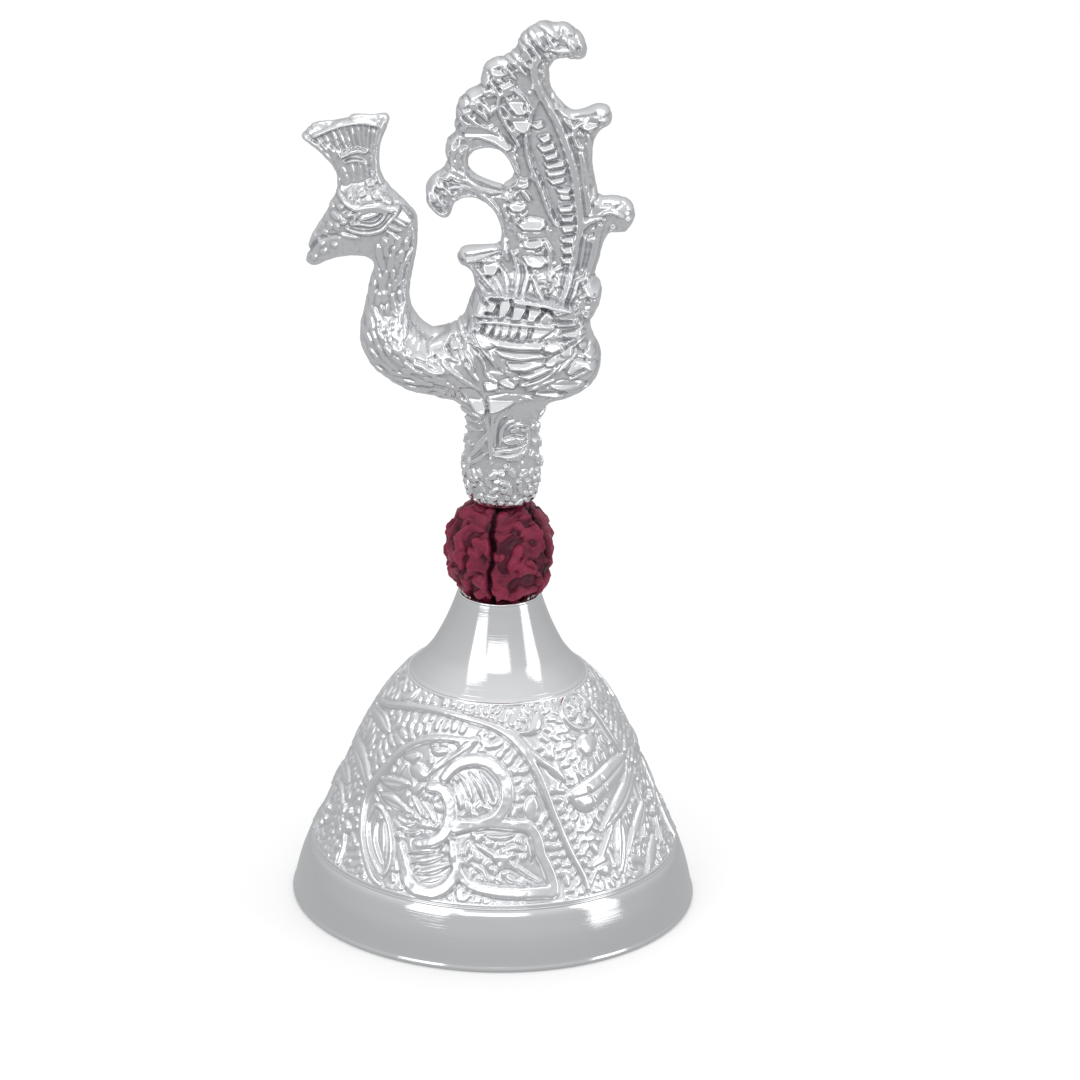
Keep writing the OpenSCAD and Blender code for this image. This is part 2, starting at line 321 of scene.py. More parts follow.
def silver(name, rough, tone, fine, cast=0.0, lathe=0.0, tarnish=0.6):
    """Polished plated metal: darker in the hollows, with fine casting grain or lathe lines."""
    m = bpy.data.materials.new(name)
    t, b = nodes_of(m)
    b.inputs["Metallic"].default_value = 1.0
    co = t.nodes.new("ShaderNodeTexCoord")
    cav = add(t, "ShaderNodeAttribute", _attribute_name="cav")
    patch = add(t, "ShaderNodeTexNoise", Scale=140.0, Detail=3.0)
    t.links.new(co.outputs["Object"], patch.inputs["Vector"])
    col = ramp(t, patch.outputs[0], [(0.35, [c * 0.985 for c in tone]), (0.65, tone)])
    dark = add(t, "ShaderNodeMix", _data_type="RGBA", _blend_type="MULTIPLY")
    dark.inputs[7].default_value = (tarnish, tarnish, tarnish * 1.01, 1)
    t.links.new(cav.outputs["Fac"], dark.inputs[0])
    t.links.new(col.outputs[0], dark.inputs[6])
    t.links.new(dark.outputs[2], b.inputs["Base Color"])
    rr = add(t, "ShaderNodeMath", _operation="MULTIPLY_ADD", i1=0.22, i2=rough)
    t.links.new(cav.outputs["Fac"], rr.inputs[0])
    wob = add(t, "ShaderNodeMath", _operation="MULTIPLY_ADD", i1=0.06)
    t.links.new(patch.outputs[0], wob.inputs[0])
    t.links.new(rr.outputs[0], wob.inputs[2])
    t.links.new(wob.outputs[0], b.inputs["Roughness"])
    height = None
    if lathe:
        mp = add(t, "ShaderNodeMapping")
        mp.inputs["Scale"].default_value = (25, 25, 5200)
        t.links.new(co.outputs["Object"], mp.inputs["Vector"])
        n1 = add(t, "ShaderNodeTexNoise", Scale=1.0, Detail=4.0, Roughness=0.7)
        t.links.new(mp.outputs[0], n1.inputs["Vector"])
        height = (n1.outputs[0], lathe)
    if cast:
        n2 = add(t, "ShaderNodeTexNoise", Scale=fine, Detail=5.0, Roughness=0.65)
        t.links.new(co.outputs["Object"], n2.inputs["Vector"])
        height = (n2.outputs[0], cast)
    if height:
        bp = add(t, "ShaderNodeBump", Strength=1.0, Distance=height[1] * MM)
        t.links.new(height[0], bp.inputs["Height"])
        t.links.new(bp.outputs[0], b.inputs["Normal"])
    return m


SILVER = (0.86, 0.86, 0.868)
M_POLISH = silver("polished_silver", 0.03, SILVER, 0, lathe=0.012)
M_BAND = silver("embossed_silver", 0.165, (0.92, 0.92, 0.93), 2600.0, cast=0.008, tarnish=0.84)
M_CAST = silver("cast_silver", 0.09, (0.92, 0.925, 0.935), 2200.0, cast=0.010, tarnish=0.64)
M_INSIDE = silver("inside_silver", 0.30, (0.80, 0.80, 0.81), 900.0, cast=0.05)
M_STEEL = silver("bright_steel", 0.22, (0.62, 0.63, 0.65), 1500.0, cast=0.01)


def bead_material():
    m = bpy.data.materials.new("rudraksha_red")
    t, b = nodes_of(m)
    co = t.nodes.new("ShaderNodeTexCoord")
    cav = add(t, "ShaderNodeAttribute", _attribute_name="cav")
    n1 = add(t, "ShaderNodeTexNoise", Scale=900.0, Detail=6.0, Roughness=0.6)
    t.links.new(co.outputs["Object"], n1.inputs["Vector"])
    col = ramp(t, n1.outputs[0], [(0.3, (0.165, 0.014, 0.036)), (0.7, (0.25, 0.024, 0.058))])
    dark = add(t, "ShaderNodeMix", _data_type="RGBA", _blend_type="MIX")
    dark.inputs[7].default_value = (0.034, 0.006, 0.014, 1)
    t.links.new(cav.outputs["Fac"], dark.inputs[0])
    t.links.new(col.outputs[0], dark.inputs[6])
    t.links.new(dark.outputs[2], b.inputs["Base Color"])
    b.inputs["Roughness"].default_value = 0.3
    b.inputs["Specular IOR Level"].default_value = 0.22
    bp = add(t, "ShaderNodeBump", Strength=1.0, Distance=0.05 * MM)
    t.links.new(n1.outputs[0], bp.inputs["Height"])
    t.links.new(bp.outputs[0], b.inputs["Normal"])
    return m


M_BEAD = bead_material()
# ---------------------------------------------------------------- the cast cup
CORE = np.array([[30, 0], [29.2, 3], [28.4, 6], [27.0, 9], [25.35, 12], [23.7, 16], [22.0, 20],
                 [20.45, 24], [18.45, 28], [15.95, 32], [12.75, 35.5]], float)
BAND0, BAND1 = 8.9, 35.3
core = run(CORE, 0.02)


def core_r(z):
    return np.interp(z, core[:, 1], core[:, 0])


# the band is drawn flat, as the cone it nearly is: distance from the apex and turned angle
zb = np.linspace(BAND0, BAND1, 800)
rb = core_r(zb)
sb = np.r_[0, np.cumsum(np.hypot(np.diff(zb), np.diff(rb)))]
KC = 0.47
APEX = 58.87
BS = Sheet(-42, 42, -61, -19, 0.1)
band = BS.zeros()
line = np.full(BS.shape, 3.0, np.float32)   # distance outward from the drawn strokes

VINES = [
    # outer vine with its tendril, and the ring inside it
    (0.62, 0.55, [(-22, -27.2), (-17.8, -28.6), (-13.7, -29.1), (-9.3, -29.7), (-5.9, -30.5), (-3.4, -31.2),
                  (-1.1, -31.9), (0.8, -32.8), (2.7, -34.4), (4.2, -36.3), (5.6, -38.6), (6.9, -41.4),
                  (8.3, -44.5), (9.7, -47.2), (11.1, -49.8), (12.5, -51.9), (13.7, -53.8), (14.2, -55.4)]),
    (0.5, 0.5, [(0.8, -32.6), (2.3, -33.1), (4.2, -35.5), (6.1, -37.0), (8.6, -38.5)]),
    (0.55, 0.55, [(-2.9, -34.4), (-5.2, -34.3), (-7.6, -34.1), (-10.5, -34.4), (-13.1, -35.3),
                  (-15.2, -36.7), (-17.5, -38.8), (-19.8, -40.8), (-21.0, -43.2), (-21.3, -46.4),
                  (-21.0, -48.9), (-20.1, -51.7), (-18.7, -54.2), (-17.1, -55.5)]),
    # the two spirals
    (1.0, 0.62, [(-7.0, -39.9), (-5.5, -38.1), (-3.6, -37.3), (-1.3, -37.4), (0.1, -38.4), (1.3, -40.0),
                  (1.7, -41.9), (1.4, -43.9), (0.3, -45.4), (-1.2, -46.2), (-3.1, -46.6), (-5.5, -46.4)]),
    (1.0, 0.62, [(-9.2, -41.3), (-7.4, -41.5), (-6.4, -42.9), (-6.1, -44.9), (-6.5, -46.9), (-7.5, -48.4),
                  (-9.2, -49.2), (-11.3, -49.4)]),
    # petals below them
    (1.02, 0.6, [(-14.0, -49.6), (-13.3, -52.4), (-12.6, -54.8), (-10.8, -56.4), (-8.7, -56.6),
                (-6.7, -55.6), (-5.5, -53.8), (-4.9, -52.0)]),
    (0.92, 0.6, [(-5.9, -49.2), (-5.7, -51.2), (-5.1, -53.2), (-3.5, -55.2), (-1.5, -55.9), (0.9, -56.3),
                 (4.1, -56.4), (7.4, -56.1), (8.8, -56.0), (8.5, -54.1), (7.6, -52.1), (6.7, -50.5),
                 (6.2, -48.6), (5.0, -46.8), (3.0, -46.5), (0.7, -46.4), (-1.6, -46.4), (-3.5, -46.8),
                 (-5.5, -47.4)]),
    # leaf with a frame at the left
    (0.42, 0.45, [(-18.6, -43.6), (-19.6, -45.2), (-20.1, -46.5), (-19.7, -49.8), (-18.3, -52.6), (-17.0, -53.9),
                  (-15.8, -52.3), (-15.6, -49.1), (-16.1, -46.3), (-17.4, -44.2), (-18.6, -43.6)]),
    # stems behind the palm leaf and the flower
    (0.5, 0.45, [(12.0, -25.5), (16.4, -30.0), (19.2, -33.2), (22.0, -35.6), (24.5, -38.8), (26.0, -42.8),
                 (25.2, -47.0)]),
    (0.45, 0.42, [(14.4, -55.2), (16.2, -51.0), (17.6, -47.6), (19.2, -43.6), (21.2, -38.6), (22.0, -35.8)]),
    (0.5, 0.45, [(-33.5, -37.4), (-30.4, -38.8), (-28.2, -41.0), (-26.8, -43.6), (-26.2, -45.4)]),
    (0.45, 0.42, [(-25.8, -45.6), (-25.2, -48.8), (-25.8, -52.0)]),
    (0.5, 0.5, [(34.0, -36.6), (31.6, -39.6), (30.6, -43.0), (31.4, -46.6)]),
]
for w, a, P in VINES:
    BS.ridge(band, smooth(P, 3, closed=False), w * 1.05, a, taper=0.35, flat=0.55, line=line)
VEINS = [
    (0.42, [(-5.1, -39.3), (-3.9, -40.6), (-3.1, -43.2)]), (0.42, [(-3.6, -38.9), (-2.2, -40.8), (-1.4, -43.4)]),
    (0.4, [(-2.1, -38.7), (-0.7, -40.8), (-0.2, -43.0)]), (0.42, [(-5.7, -40.5), (-5.1, -42.5), (-4.7, -44.3)]),
    (0.55, [(-12.2, -52.0), (-9.6, -51.7), (-7.3, -51.1)]), (0.55, [(-11.5, -53.6), (-8.9, -53.2), (-6.5, -52.4)]),
    (0.5, [(-10.6, -55.0), (-8.9, -54.8), (-7.1, -54.2)]), (0.4, [(-12.8, -50.6), (-10.8, -50.4), (-8.6, -50.4)]),
    (0.4, [(-18.3, -46.2), (-18.6, -49.0), (-17.2, -52.4)]), (0.35, [(-17.0, -46.0), (-16.8, -49.1), (-16.9, -51.6)]),
    (0.5, [(-2.6, -49.4), (-0.6, -50.6), (0.8, -52.0), (0.2, -53.8)]), (0.5, [(0.8, -51.2), (2.6, -49.8), (4.4, -50.2)]),
    (0.45, [(1.2, -52.4), (3.2, -52.6), (5.2, -53.8), (7.0, -54.6)]), (0.45, [(-3.2, -52.2), (-1.6, -53.2), (-1.0, -54.6)]),
    (0.4, [(-1.0, -48.2), (1.0, -48.4), (2.8, -47.9)]), (0.4, [(3.4, -54.6), (4.8, -55.0)]),
    (0.4, [(-3.6, -49.0), (-3.9, -51.0)]), (0.4, [(4.6, -48.4), (5.4, -51.6)]),
    # hatching inside the ring
    (0.4, [(-14.6, -45.4), (-13.0, -46.4), (-11.4, -46.2)]), (0.4, [(-13.8, -47.4), (-12.2, -47.9), (-10.4, -47.4)]),
    (0.42, [(-10.6, -43.2), (-9.4, -44.4), (-8.6, -46.4)]), (0.42, [(-12.0, -42.4), (-11.2, -43.8), (-10.4, -45.4)]),
]
for w, P in VEINS:
    BS.ridge(band, smooth(P, 4, closed=False), w, 0.42, taper=0.75, flat=0.2, line=line)
LEAVES = [
    # bud, arrow head and small leaves of the vine
    (0.85, [(2.9, -33.0), (4.2, -32.4), (4.6, -31.2), (5.0, -30.2), (5.7, -29.4), (6.4, -30.2), (6.6, -31.4),
            (6.1, -32.6), (5.3, -33.2), (4.2, -33.4)]),
    (0.6, [(-5.6, -34.5), (-2.4, -33.8), (-3.4, -35.7), (-4.9, -36.7), (-7.0, -37.9), (-8.6, -39.1),
           (-10.0, -39.9), (-9.3, -38.6), (-7.1, -36.8), (-5.2, -35.5)]),
    (0.55, [(7.2, -38.3), (8.6, -37.2), (9.4, -38.4), (10.2, -40.0), (8.8, -39.6)]),
    (0.5, [(-17.8, -39.8), (-16.2, -39.4), (-14.8, -39.6), (-12.2, -40.6), (-14.4, -41.5), (-16.4, -41.0)]),
    (0.5, [(-17.7, -42.1), (-16.0, -42.0), (-14.7, -42.5), (-11.9, -44.9), (-14.0, -44.6), (-15.8, -43.9)]),
    (0.5, [(-12.3, -38.4), (-11.2, -37.6), (-10.1, -38.0), (-9.1, -39.6), (-10.4, -40.4), (-11.6, -39.8)]),
    (0.45, [(-13.6, -36.6), (-11.8, -36.0), (-10.6, -36.6), (-12.0, -37.6)]),
    (0.45, [(-9.0, -35.6), (-7.2, -35.4), (-6.6, -36.2), (-8.4, -36.6)]),
    (0.5, [(5.4, -42.0), (6.2, -43.6), (6.0, -45.6), (4.8, -46.0), (4.0, -44.6), (4.4, -42.8)]),
    # blades at the left
    (0.55, [(-30.4, -30.4), (-26.4, -32.2), (-22.8, -34.7), (-20.9, -37.0), (-19.7, -39.8), (-20.9, -40.8), (-23.6, -38.2),
            (-27.2, -34.4)]),
    (0.55, [(-26.4, -26.2), (-20.1, -28.9), (-17.9, -30.6), (-16.5, -32.7), (-17.7, -33.1), (-21.1, -30.9),
            (-24.4, -28.8)]),
    (0.5, [(-34.6, -33.2), (-31.0, -34.6), (-28.0, -36.6), (-26.2, -39.4), (-28.6, -38.8), (-31.8, -36.8)]),
    (0.5, [(-16.2, -27.4), (-13.6, -26.4), (-12.0, -25.4), (-13.4, -27.8), (-15.0, -28.4)]),
    # palm leaf at the right
    (0.6, [(15.3, -38.3), (17.4, -36.6), (19.5, -35.4), (21.5, -35.1), (21.3, -37.0), (20.5, -38.6),
           (17.6, -41.3), (14.2, -44.0), (11.8, -43.7), (10.4, -41.6), (12.5, -40.1)]),
    (0.6, [(23.9, -36.2), (24.0, -38.2), (23.4, -39.8), (21.2, -43.4), (17.8, -46.1), (16.0, -47.0),
           (17.7, -43.5), (19.9, -40.1), (22.0, -37.6)]),
    (0.6, [(26.6, -40.7), (26.8, -42.6), (25.9, -44.4), (22.9, -48.0), (21.7, -50.4), (22.0, -47.1),
           (23.8, -43.6)]),
    (0.5, [(14.3, -51.8), (16.9, -49.8), (18.4, -51.5), (18.0, -53.3), (15.1, -52.7)]),
    (0.55, [(19.4, -44.6), (20.8, -46.0), (21.2, -49.6), (20.2, -53.0), (19.2, -49.0)]),
    (0.5, [(28.6, -45.6), (29.0, -48.2), (27.0, -51.2), (25.4, -52.4), (26.2, -48.8)]),
    (0.5, [(31.6, -34.6), (33.8, -33.2), (36.0, -33.6), (34.6, -35.8), (32.6, -36.8)]),
    (0.5, [(12.2, -33.6), (13.6, -32.6), (15.2, -33.4), (14.8, -35.4), (13.2, -36.0), (12.0, -35.0)]),
]
for a, P in LEAVES:
    P = smooth(P, 4)
    d = BS.poly(P, 2.5)
    k = np.clip(d / 0.42, 0, 1)
    band = np.maximum(band, np.where(d > 0, a * (0.62 * np.sqrt(1 - (1 - k) ** 2)
                                                 + 0.38 * np.clip(d / 1.2, 0, 1)), 0))
    line = np.minimum(line, -d)
# midribs cut into the bigger leaves
for P in ([(11.6, -42.2), (14.6, -41.2), (18.2, -38.2), (21.0, -35.8)],
          [(17.0, -46.0), (20.4, -42.2), (23.4, -37.2)], [(22.2, -49.0), (24.4, -45.2), (26.2, -41.6)],
          [(20.1, -52.0), (20.3, -48.6), (19.9, -45.4)], [(-20.4, -40.2), (-22.6, -36.8), (-28.6, -32.0)],
          [(-17.0, -32.4), (-19.6, -30.0), (-24.6, -27.4)], [(-27.0, -38.8), (-30.2, -36.0), (-33.4, -33.8)],
          [(-9.0, -39.0), (-6.2, -36.6), (-3.6, -34.6)], [(13.4, -40.6), (14.6, -42.4)], [(15.6, -39.0), (16.8, -40.8)],
          [(-16.9, -42.6), (-13.4, -44.3)], [(-17.0, -40.2), (-13.6, -40.7)], [(15.4, -52.2), (17.8, -51.0)]):
    BS.groove(band, smooth(P, 4, closed=False), 0.17, 0.3, taper=0.5)
# flower, rosette and four-petal sprigs
for cx, cz, n, r0, r1, w in ((-26.2, -45.2, 5, 0.7, 2.7, 0.85), (12.6, -29.4, 6, 0.7, 2.2, 0.66),
                             (30.6, -40.6, 5, 0.6, 2.2, 0.7), (1.6, -51.4, 5, 0.2, 1.5, 0.5),
                             (-34.6, -42.4, 5, 0.6, 2.0, 0.65)):
    for k in range(n):
        a = 2 * math.pi * k / n + 0.5
        m = (r0 + r1) / 2
        BS.bump(band, (cx + m * math.cos(a), cz + m * math.sin(a)), (r1 - r0) / 2 + 0.15, w, a, 0.55)
    BS.bump(band, (cx, cz), 0.55, 0.55, 0, 0.6)
    X, Z = BS.x[:, None], BS.z[None, :]
    line = np.minimum(line, (np.hypot(X - cx, Z - cz) - r1 - 0.1).astype(np.float32))
RING = [(12.6 + 2.95 * math.cos(a), -29.4 + 2.75 * math.sin(a)) for a in np.linspace(0.6, 5.9, 26)]
BS.ridge(band, RING, 0.36, 0.5, taper=0.2, flat=0.3, line=line)
for x0, z0, x1, z1 in ((-38.6, -44.4, -21.2, -19.2), (38.6, -44.4, 21.2, -19.2)):   # panel edges
    BS.ridge(band, [(x0, z0), (x1, z1)], 0.7, 0.5, flat=0.3, line=line)

# the ground between: short bars standing square to the nearest stroke
gx, gz = np.gradient(blur(line, 2), BS.h)
bars = BS.zeros()
pitch = 1.45
r2 = np.random.default_rng(11)
for i in range(int(84 / pitch)):
    for j in range(int(42 / (pitch * 0.9))):
        x = -42 + (i + 0.5 * (j % 2)) * pitch + r2.uniform(-0.3, 0.3)
        z = -61 + j * pitch * 0.9 + r2.uniform(-0.28, 0.28)
        rad = math.hypot(x, z)
        if not (APEX - sb[-1] - 0.5 < rad < APEX + 0.5) or abs(math.atan2(x, -z)) > 0.76:
            continue
        q = float(BS.sample(line, np.array(x), np.array(z)))
        if q < 0.28:
            continue
        u, v = BS.sample(gx, np.array(x), np.array(z)), BS.sample(gz, np.array(x), np.array(z))
        ang = math.atan2(v, u) + r2.uniform(-0.45, 0.45)
        size = r2.uniform(0.75, 1.15)
        BS.bump(bars, (x, z), 0.98 * size, 0.50 * size, ang, 0.36 * r2.uniform(0.75, 1.15))
bars = 0.34 * np.tanh(bars / 0.26) * step(0.05, 0.35, line)
band = np.maximum(band, bars)
band -= 0.11 * np.exp(-((line - 0.1) / 0.13) ** 2)           # a fine moat round every stroke
band += 0.03 * BS.noise(1.1, 3) + 0.02 * BS.noise(0.5, 4)
band_cav = np.clip((blur(band, 8) - band) / 0.34, 0, 1)
band = blur(band, 1)

n_phi, n_s = ((1584, 248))
phi = -np.pi / 2 + np.pi + 2 * np.pi * np.arange(n_phi) / n_phi      # world angle, front at -90 degrees
t = np.linspace(0, 1, n_s + 1)
zs = np.interp(t * sb[-1], sb, zb)
rs = core_r(zs)
T = np.gradient(np.stack([rs, zs], -1), axis=0)
Nn = unit(np.stack([T[:, 1], -T[:, 0]], -1))
front = (phi + np.pi / 2 + np.pi) % (2 * np.pi) - np.pi              # 0 at the front
half = (front + np.pi / 2) % np.pi - np.pi / 2                       # the same drawing again behind
rho = APEX - t * sb[-1]
turn = half - 0.022 * np.tan(np.clip(half, -1.05, 1.05)) * (1 - step(1.05, 1.5, np.abs(half)))
aa = turn[:, None] * KC
rho = rho[None, :] - 0.25 * np.cos(half)[:, None]
px, pz = rho * np.sin(aa), -rho * np.cos(aa)
H = BS.sample(band, px, pz)
C = BS.sample(band_cav, px, pz)
edge = np.minimum(t * sb[-1], (1 - t) * sb[-1])
lip = 0.34 * np.sqrt(np.clip(1 - ((edge - 0.32) / 0.32) ** 2, 0, 1))
H = np.maximum(H * step(0.15, 0.8, edge)[None, :] + 0.10 * step(0, 0.25, edge)[None, :], lip[None, :])
C = C * step(0.3, 0.9, edge)[None, :]
R_ = rs[None, :] + H * Nn[:, 0][None, :]
Z_ = zs[None, :] + H * Nn[:, 1][None, :]
P = np.stack([R_ * np.cos(phi)[:, None], R_ * np.sin(phi)[:, None], Z_], -1)
N = grid_normals(P)
sect = n_phi // 4
for k in range(4):
    idx = (np.arange(sect + 1) + k * sect) % n_phi
    Pk, Nk, Ck = P[idx], N[idx], C[idx]
    make("bell_band_%d" % (k + 1), Pk.reshape(-1, 3), grid_faces(sect + 1, n_s + 1, wrap=False),
         Nk.reshape(-1, 3), {"cav": Ck.ravel()}, "bell", ["bell_cup"], "cast_silver", M_BAND)

n_t = 360
b0 = (float(core_r(BAND0)), BAND0)
lower = run([(29.8, 0.8), (29.88, 0.62), (29.96, 0.4), (29.88, 0.15), (29.6, 0.0)], 0.06)
rim = [[b0, (b0[0] + 0.2, BAND0 - 0.03), (b0[0] + 0.27, BAND0 - 0.18), (b0[0] + 0.22, BAND0 - 0.34)],
       run([(b0[0] + 0.22, BAND0 - 0.34), (27.72, 7.9), (28.26, 6.5), (28.78, 5.0), (29.16, 3.6), (29.46, 2.3), (29.7, 1.2),
            (29.8, 0.8)], 0.15), lower, [(29.6, 0), (28.7, 0)]]
turned("bell_rim", [p[::-1] for p in rim], n_t, body="bell", nodes=["bell_cup"], slot="cast_silver",
       mat=M_POLISH)
inner = run([(28.7, 0.0), (28.5, 0.25), (27.8, 2.6), (26.8, 5.6), (25.8, 8.5), (24.4, 11.4), (22.6, 15.3),
             (20.9, 19.3), (19.4, 23.2), (17.5, 26.9), (15.2, 30.5), (11.4, 34.5), (8.8, 37.4),
             (7.1, 39.2), (6.0, 40.2), (5.2, 40.5)], 0.4)
turned("bell_inside", [inner, [(5.2, 40.5), (2.05, 40.5)]], n_t, body="bell", nodes=["bell_cup"],
       slot="cast_silver", mat=M_INSIDE)
bt = (float(core_r(BAND1)), BAND1)
neck = run([(12.5, 35.9), (12.0, 36.45), (11.0, 37.6), (9.95, 39.0), (9.1, 40.5), (8.4, 41.9), (7.85, 43.1),
            (7.4, 44.2), (6.98, 45.3), (6.62, 46.3), (6.36, 47.1), (6.18, 47.62)], 0.15)
turned("bell_neck", [
    [(bt[0], bt[1]), (bt[0] + 0.12, bt[1] + 0.05), (bt[0] + 0.08, bt[1] + 0.2), (12.6, 35.75), (12.5, 35.9)],
    neck,
    run([(6.18, 47.62), (6.15, 47.8), (6.07, 47.94), (5.92, 48.0), (5.74, 47.97), (5.6, 47.84)], 0.05),
    run([(5.6, 47.84), (5.25, 47.25), (4.9, 46.6), (4.4, 46.12), (3.4, 46.0), (2.05, 46.0)], 0.15)],
    n_t, body="bell", nodes=["bell_cup"], slot="cast_silver", mat=M_POLISH)

# ---------------------------------------------------------------- the rudraksha bead
def bead():
    n, m = ((420, 230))
    r3 = np.random.default_rng(23)
    th = np.linspace(0, 2 * np.pi, n, endpoint=False)
    ps = np.linspace(-80, 80, m) * np.pi / 180
    T, S = np.meshgrid(th, ps, indexing="ij")
    U = np.stack([np.cos(S) * np.cos(T), np.cos(S) * np.sin(T), np.sin(S)], -1)
    # knobs: cells round random points, pushed about so that they aren't regular
    W = U + 0.13 * np.sin(U[..., [1, 2, 0]] * 7 + 1.3) + 0.07 * np.sin(U[..., [2, 0, 1]] * 17 + 0.4)
    # lumps of many sizes that run into each other
    k = 190
    i = np.arange(k)
    f = np.arccos(1 - 2 * (i + 0.5) / k)
    g = np.pi * (1 + 5 ** 0.5) * i
    C = np.stack([np.cos(g) * np.sin(f), np.sin(g) * np.sin(f), np.cos(f)], -1) + r3.normal(0, 0.09, (k, 3))
    size = r3.uniform(0.12, 0.27, k)
    hgt = r3.uniform(0.35, 1.0, k) * (0.6 + 1.5 * size)
    stretch = r3.uniform(0.7, 1.5, k)
    knob = np.zeros_like(T)
    for j in range(k):
        d2 = ((W - C[j]) ** 2 * np.array([stretch[j], 1 / stretch[j], 1.0])).sum(-1) / size[j] ** 2
        knob = np.maximum(knob, hgt[j] * np.sqrt(np.clip(1 - d2, 0, 1)))
    fine = np.sin(W[..., 0] * 41 + 3 * W[..., 1]) * np.sin(W[..., 1] * 37 + 1) * np.sin(W[..., 2] * 43 + 2 * W[..., 0])
    amp = 1.25 * np.cos(S) ** 0.5
    soft = np.sin(W[..., 0] * 15 + 2) * np.sin(W[..., 1] * 14 + 1) * np.sin(W[..., 2] * 16)
    disp = amp * (knob - 0.62) + 0.2 * soft + 0.05 * fine
    # five lines from pole to pole
    cut = np.zeros_like(T)
    for q in range(5):
        a0 = math.radians(-100 + 72 * q)
        wob = 0.03 * np.sin(S * 6 + q) + 0.015 * np.sin(S * 17 + 2 * q)
        da = (T - a0 - wob + np.pi) % (2 * np.pi) - np.pi
        e = np.abs(da) * np.cos(S) * 8.3
        cut = np.maximum(cut, np.exp(-(e / 0.3) ** 2))
        disp += 0.3 * np.exp(-((e - 0.85) / 0.4) ** 2) * np.cos(S)
    disp -= 0.95 * cut * np.cos(S) ** 0.4
    rr = 8.15 * np.cos(S) ** np.where(S < 0, 1.1, 0.72)
    z = 54.2 + np.where(S < 0, 8.25, 8.3) * np.sin(S) / math.sin(math.radians(80))
    N0 = unit(np.stack([np.cos(S) * np.cos(T), np.cos(S) * np.sin(T), 1.05 * np.sin(S)], -1))
    P = np.stack([rr * np.cos(T), rr * np.sin(T), z], -1) + N0 * disp[..., None]
    lim = 8.34
    rad = np.hypot(P[..., 0], P[..., 1])
    P[..., :2] *= (np.minimum(rad, lim) / np.maximum(rad, 1e-9))[..., None]
    P[..., 2] = np.clip(P[..., 2], 46.05, 62.55)
    cav = np.clip(1.5 * np.clip(0.6 - knob, 0, 1) ** 1.2 + 1.4 * cut - 0.15 * soft, 0, 1)
    # close the ends down to the bore
    ring = P[:, :1].copy(); ring[..., :2] *= 2.1 / np.hypot(ring[..., 0], ring[..., 1])[..., None]
    top = P[:, -1:].copy(); top[..., :2] *= 2.1 / np.hypot(top[..., 0], top[..., 1])[..., None]
    P = np.concatenate([ring, P, top], 1)
    cav = np.concatenate([cav[:, :1] * 0 + 1, cav, cav[:, :1] * 0 + 1], 1)
    make("rudraksha_seed", P.reshape(-1, 3), grid_faces(n, m + 2), grid_normals(P).reshape(-1, 3),
         {"cav": cav.ravel()}, "bell", ["rudraksha_bead"], "bead", M_BEAD)


bead()

# ---------------------------------------------------------------- the cast peacock
G = 0.15
HS = Sheet(-31.5, 20.5, 74, 137, 0.1)
P_TAIL = [(-5.5, 84), (-5.6, 91.0), (-5.3, 92.2), (-4.7, 94.2), (-4.8, 95.8), (-5.3, 97.3), (-6.8, 98.4), (-7.3, 99.4),
          (-6.9, 100.3), (-5.8, 100.9), (-2.8, 101.2), (-1.6, 101.4), (-0.9, 102.4), (-0.9, 103.9), (-1.8, 106.0),
          (-3.3, 107.5), (-5.2, 108.2), (-6.6, 108.0), (-7.5, 107.3), (-7.9, 105.9), (-8.8, 105.2), (-10.3, 105.7),
          (-11.6, 107.2), (-11.9, 108.7), (-11.6, 110.4), (-10.7, 111.6), (-9.3, 112.8), (-8.9, 114.1), (-9.2, 115.2),
          (-8.8, 117.2), (-7.9, 118.3), (-7.9, 120.2), (-7.6, 122.5), (-6.2, 124.2), (-4.6, 125.1), (-4.3, 126.3),
          (-3.7, 128.2), (-1.9, 129.4), (-0.3, 129.9), (0.7, 131.3), (1.4, 133.0), (3.0, 134.3), (5.0, 134.8),
          (7.4, 134.6), (9.2, 133.8), (10.5, 132.3), (11.0, 130.8), (10.6, 129.5), (9.3, 129.1), (7.5, 129.3),
          (6.2, 128.8), (5.7, 127.9), (5.9, 125.8), (6.7, 123.9), (8.0, 122.5), (9.1, 121.7), (10.6, 121.9),
          (12.4, 122.6), (14.0, 122.4), (14.8, 121.3), (14.6, 119.8), (13.2, 118.7), (12.5, 117.6), (12.2, 116.1),
          (12.3, 113.4), (12.8, 111.2), (13.4, 109.1), (14.9, 109.0), (16.7, 108.8), (18.1, 107.8), (18.5, 106.5),
          (18.1, 104.8), (16.9, 103.6), (15.2, 103.5), (14.5, 102.9), (14.0, 101.6), (13.5, 99.3), (13.0, 96.9),
          (13.8, 95.8), (14.1, 94.8), (13.7, 93.1), (12.8, 91.3), (11, 88), (9, 84)]
P_HOLE = [(-5.5, 113.4), (-5.3, 114.6), (-4.4, 115.4), (-2.8, 115.7), (-1.1, 115.1), (0.0, 113.7), (0.6, 112.2),
          (0.4, 111.3), (-0.8, 110.5), (-2.3, 110.8), (-4.1, 111.5), (-5.1, 112.3)]
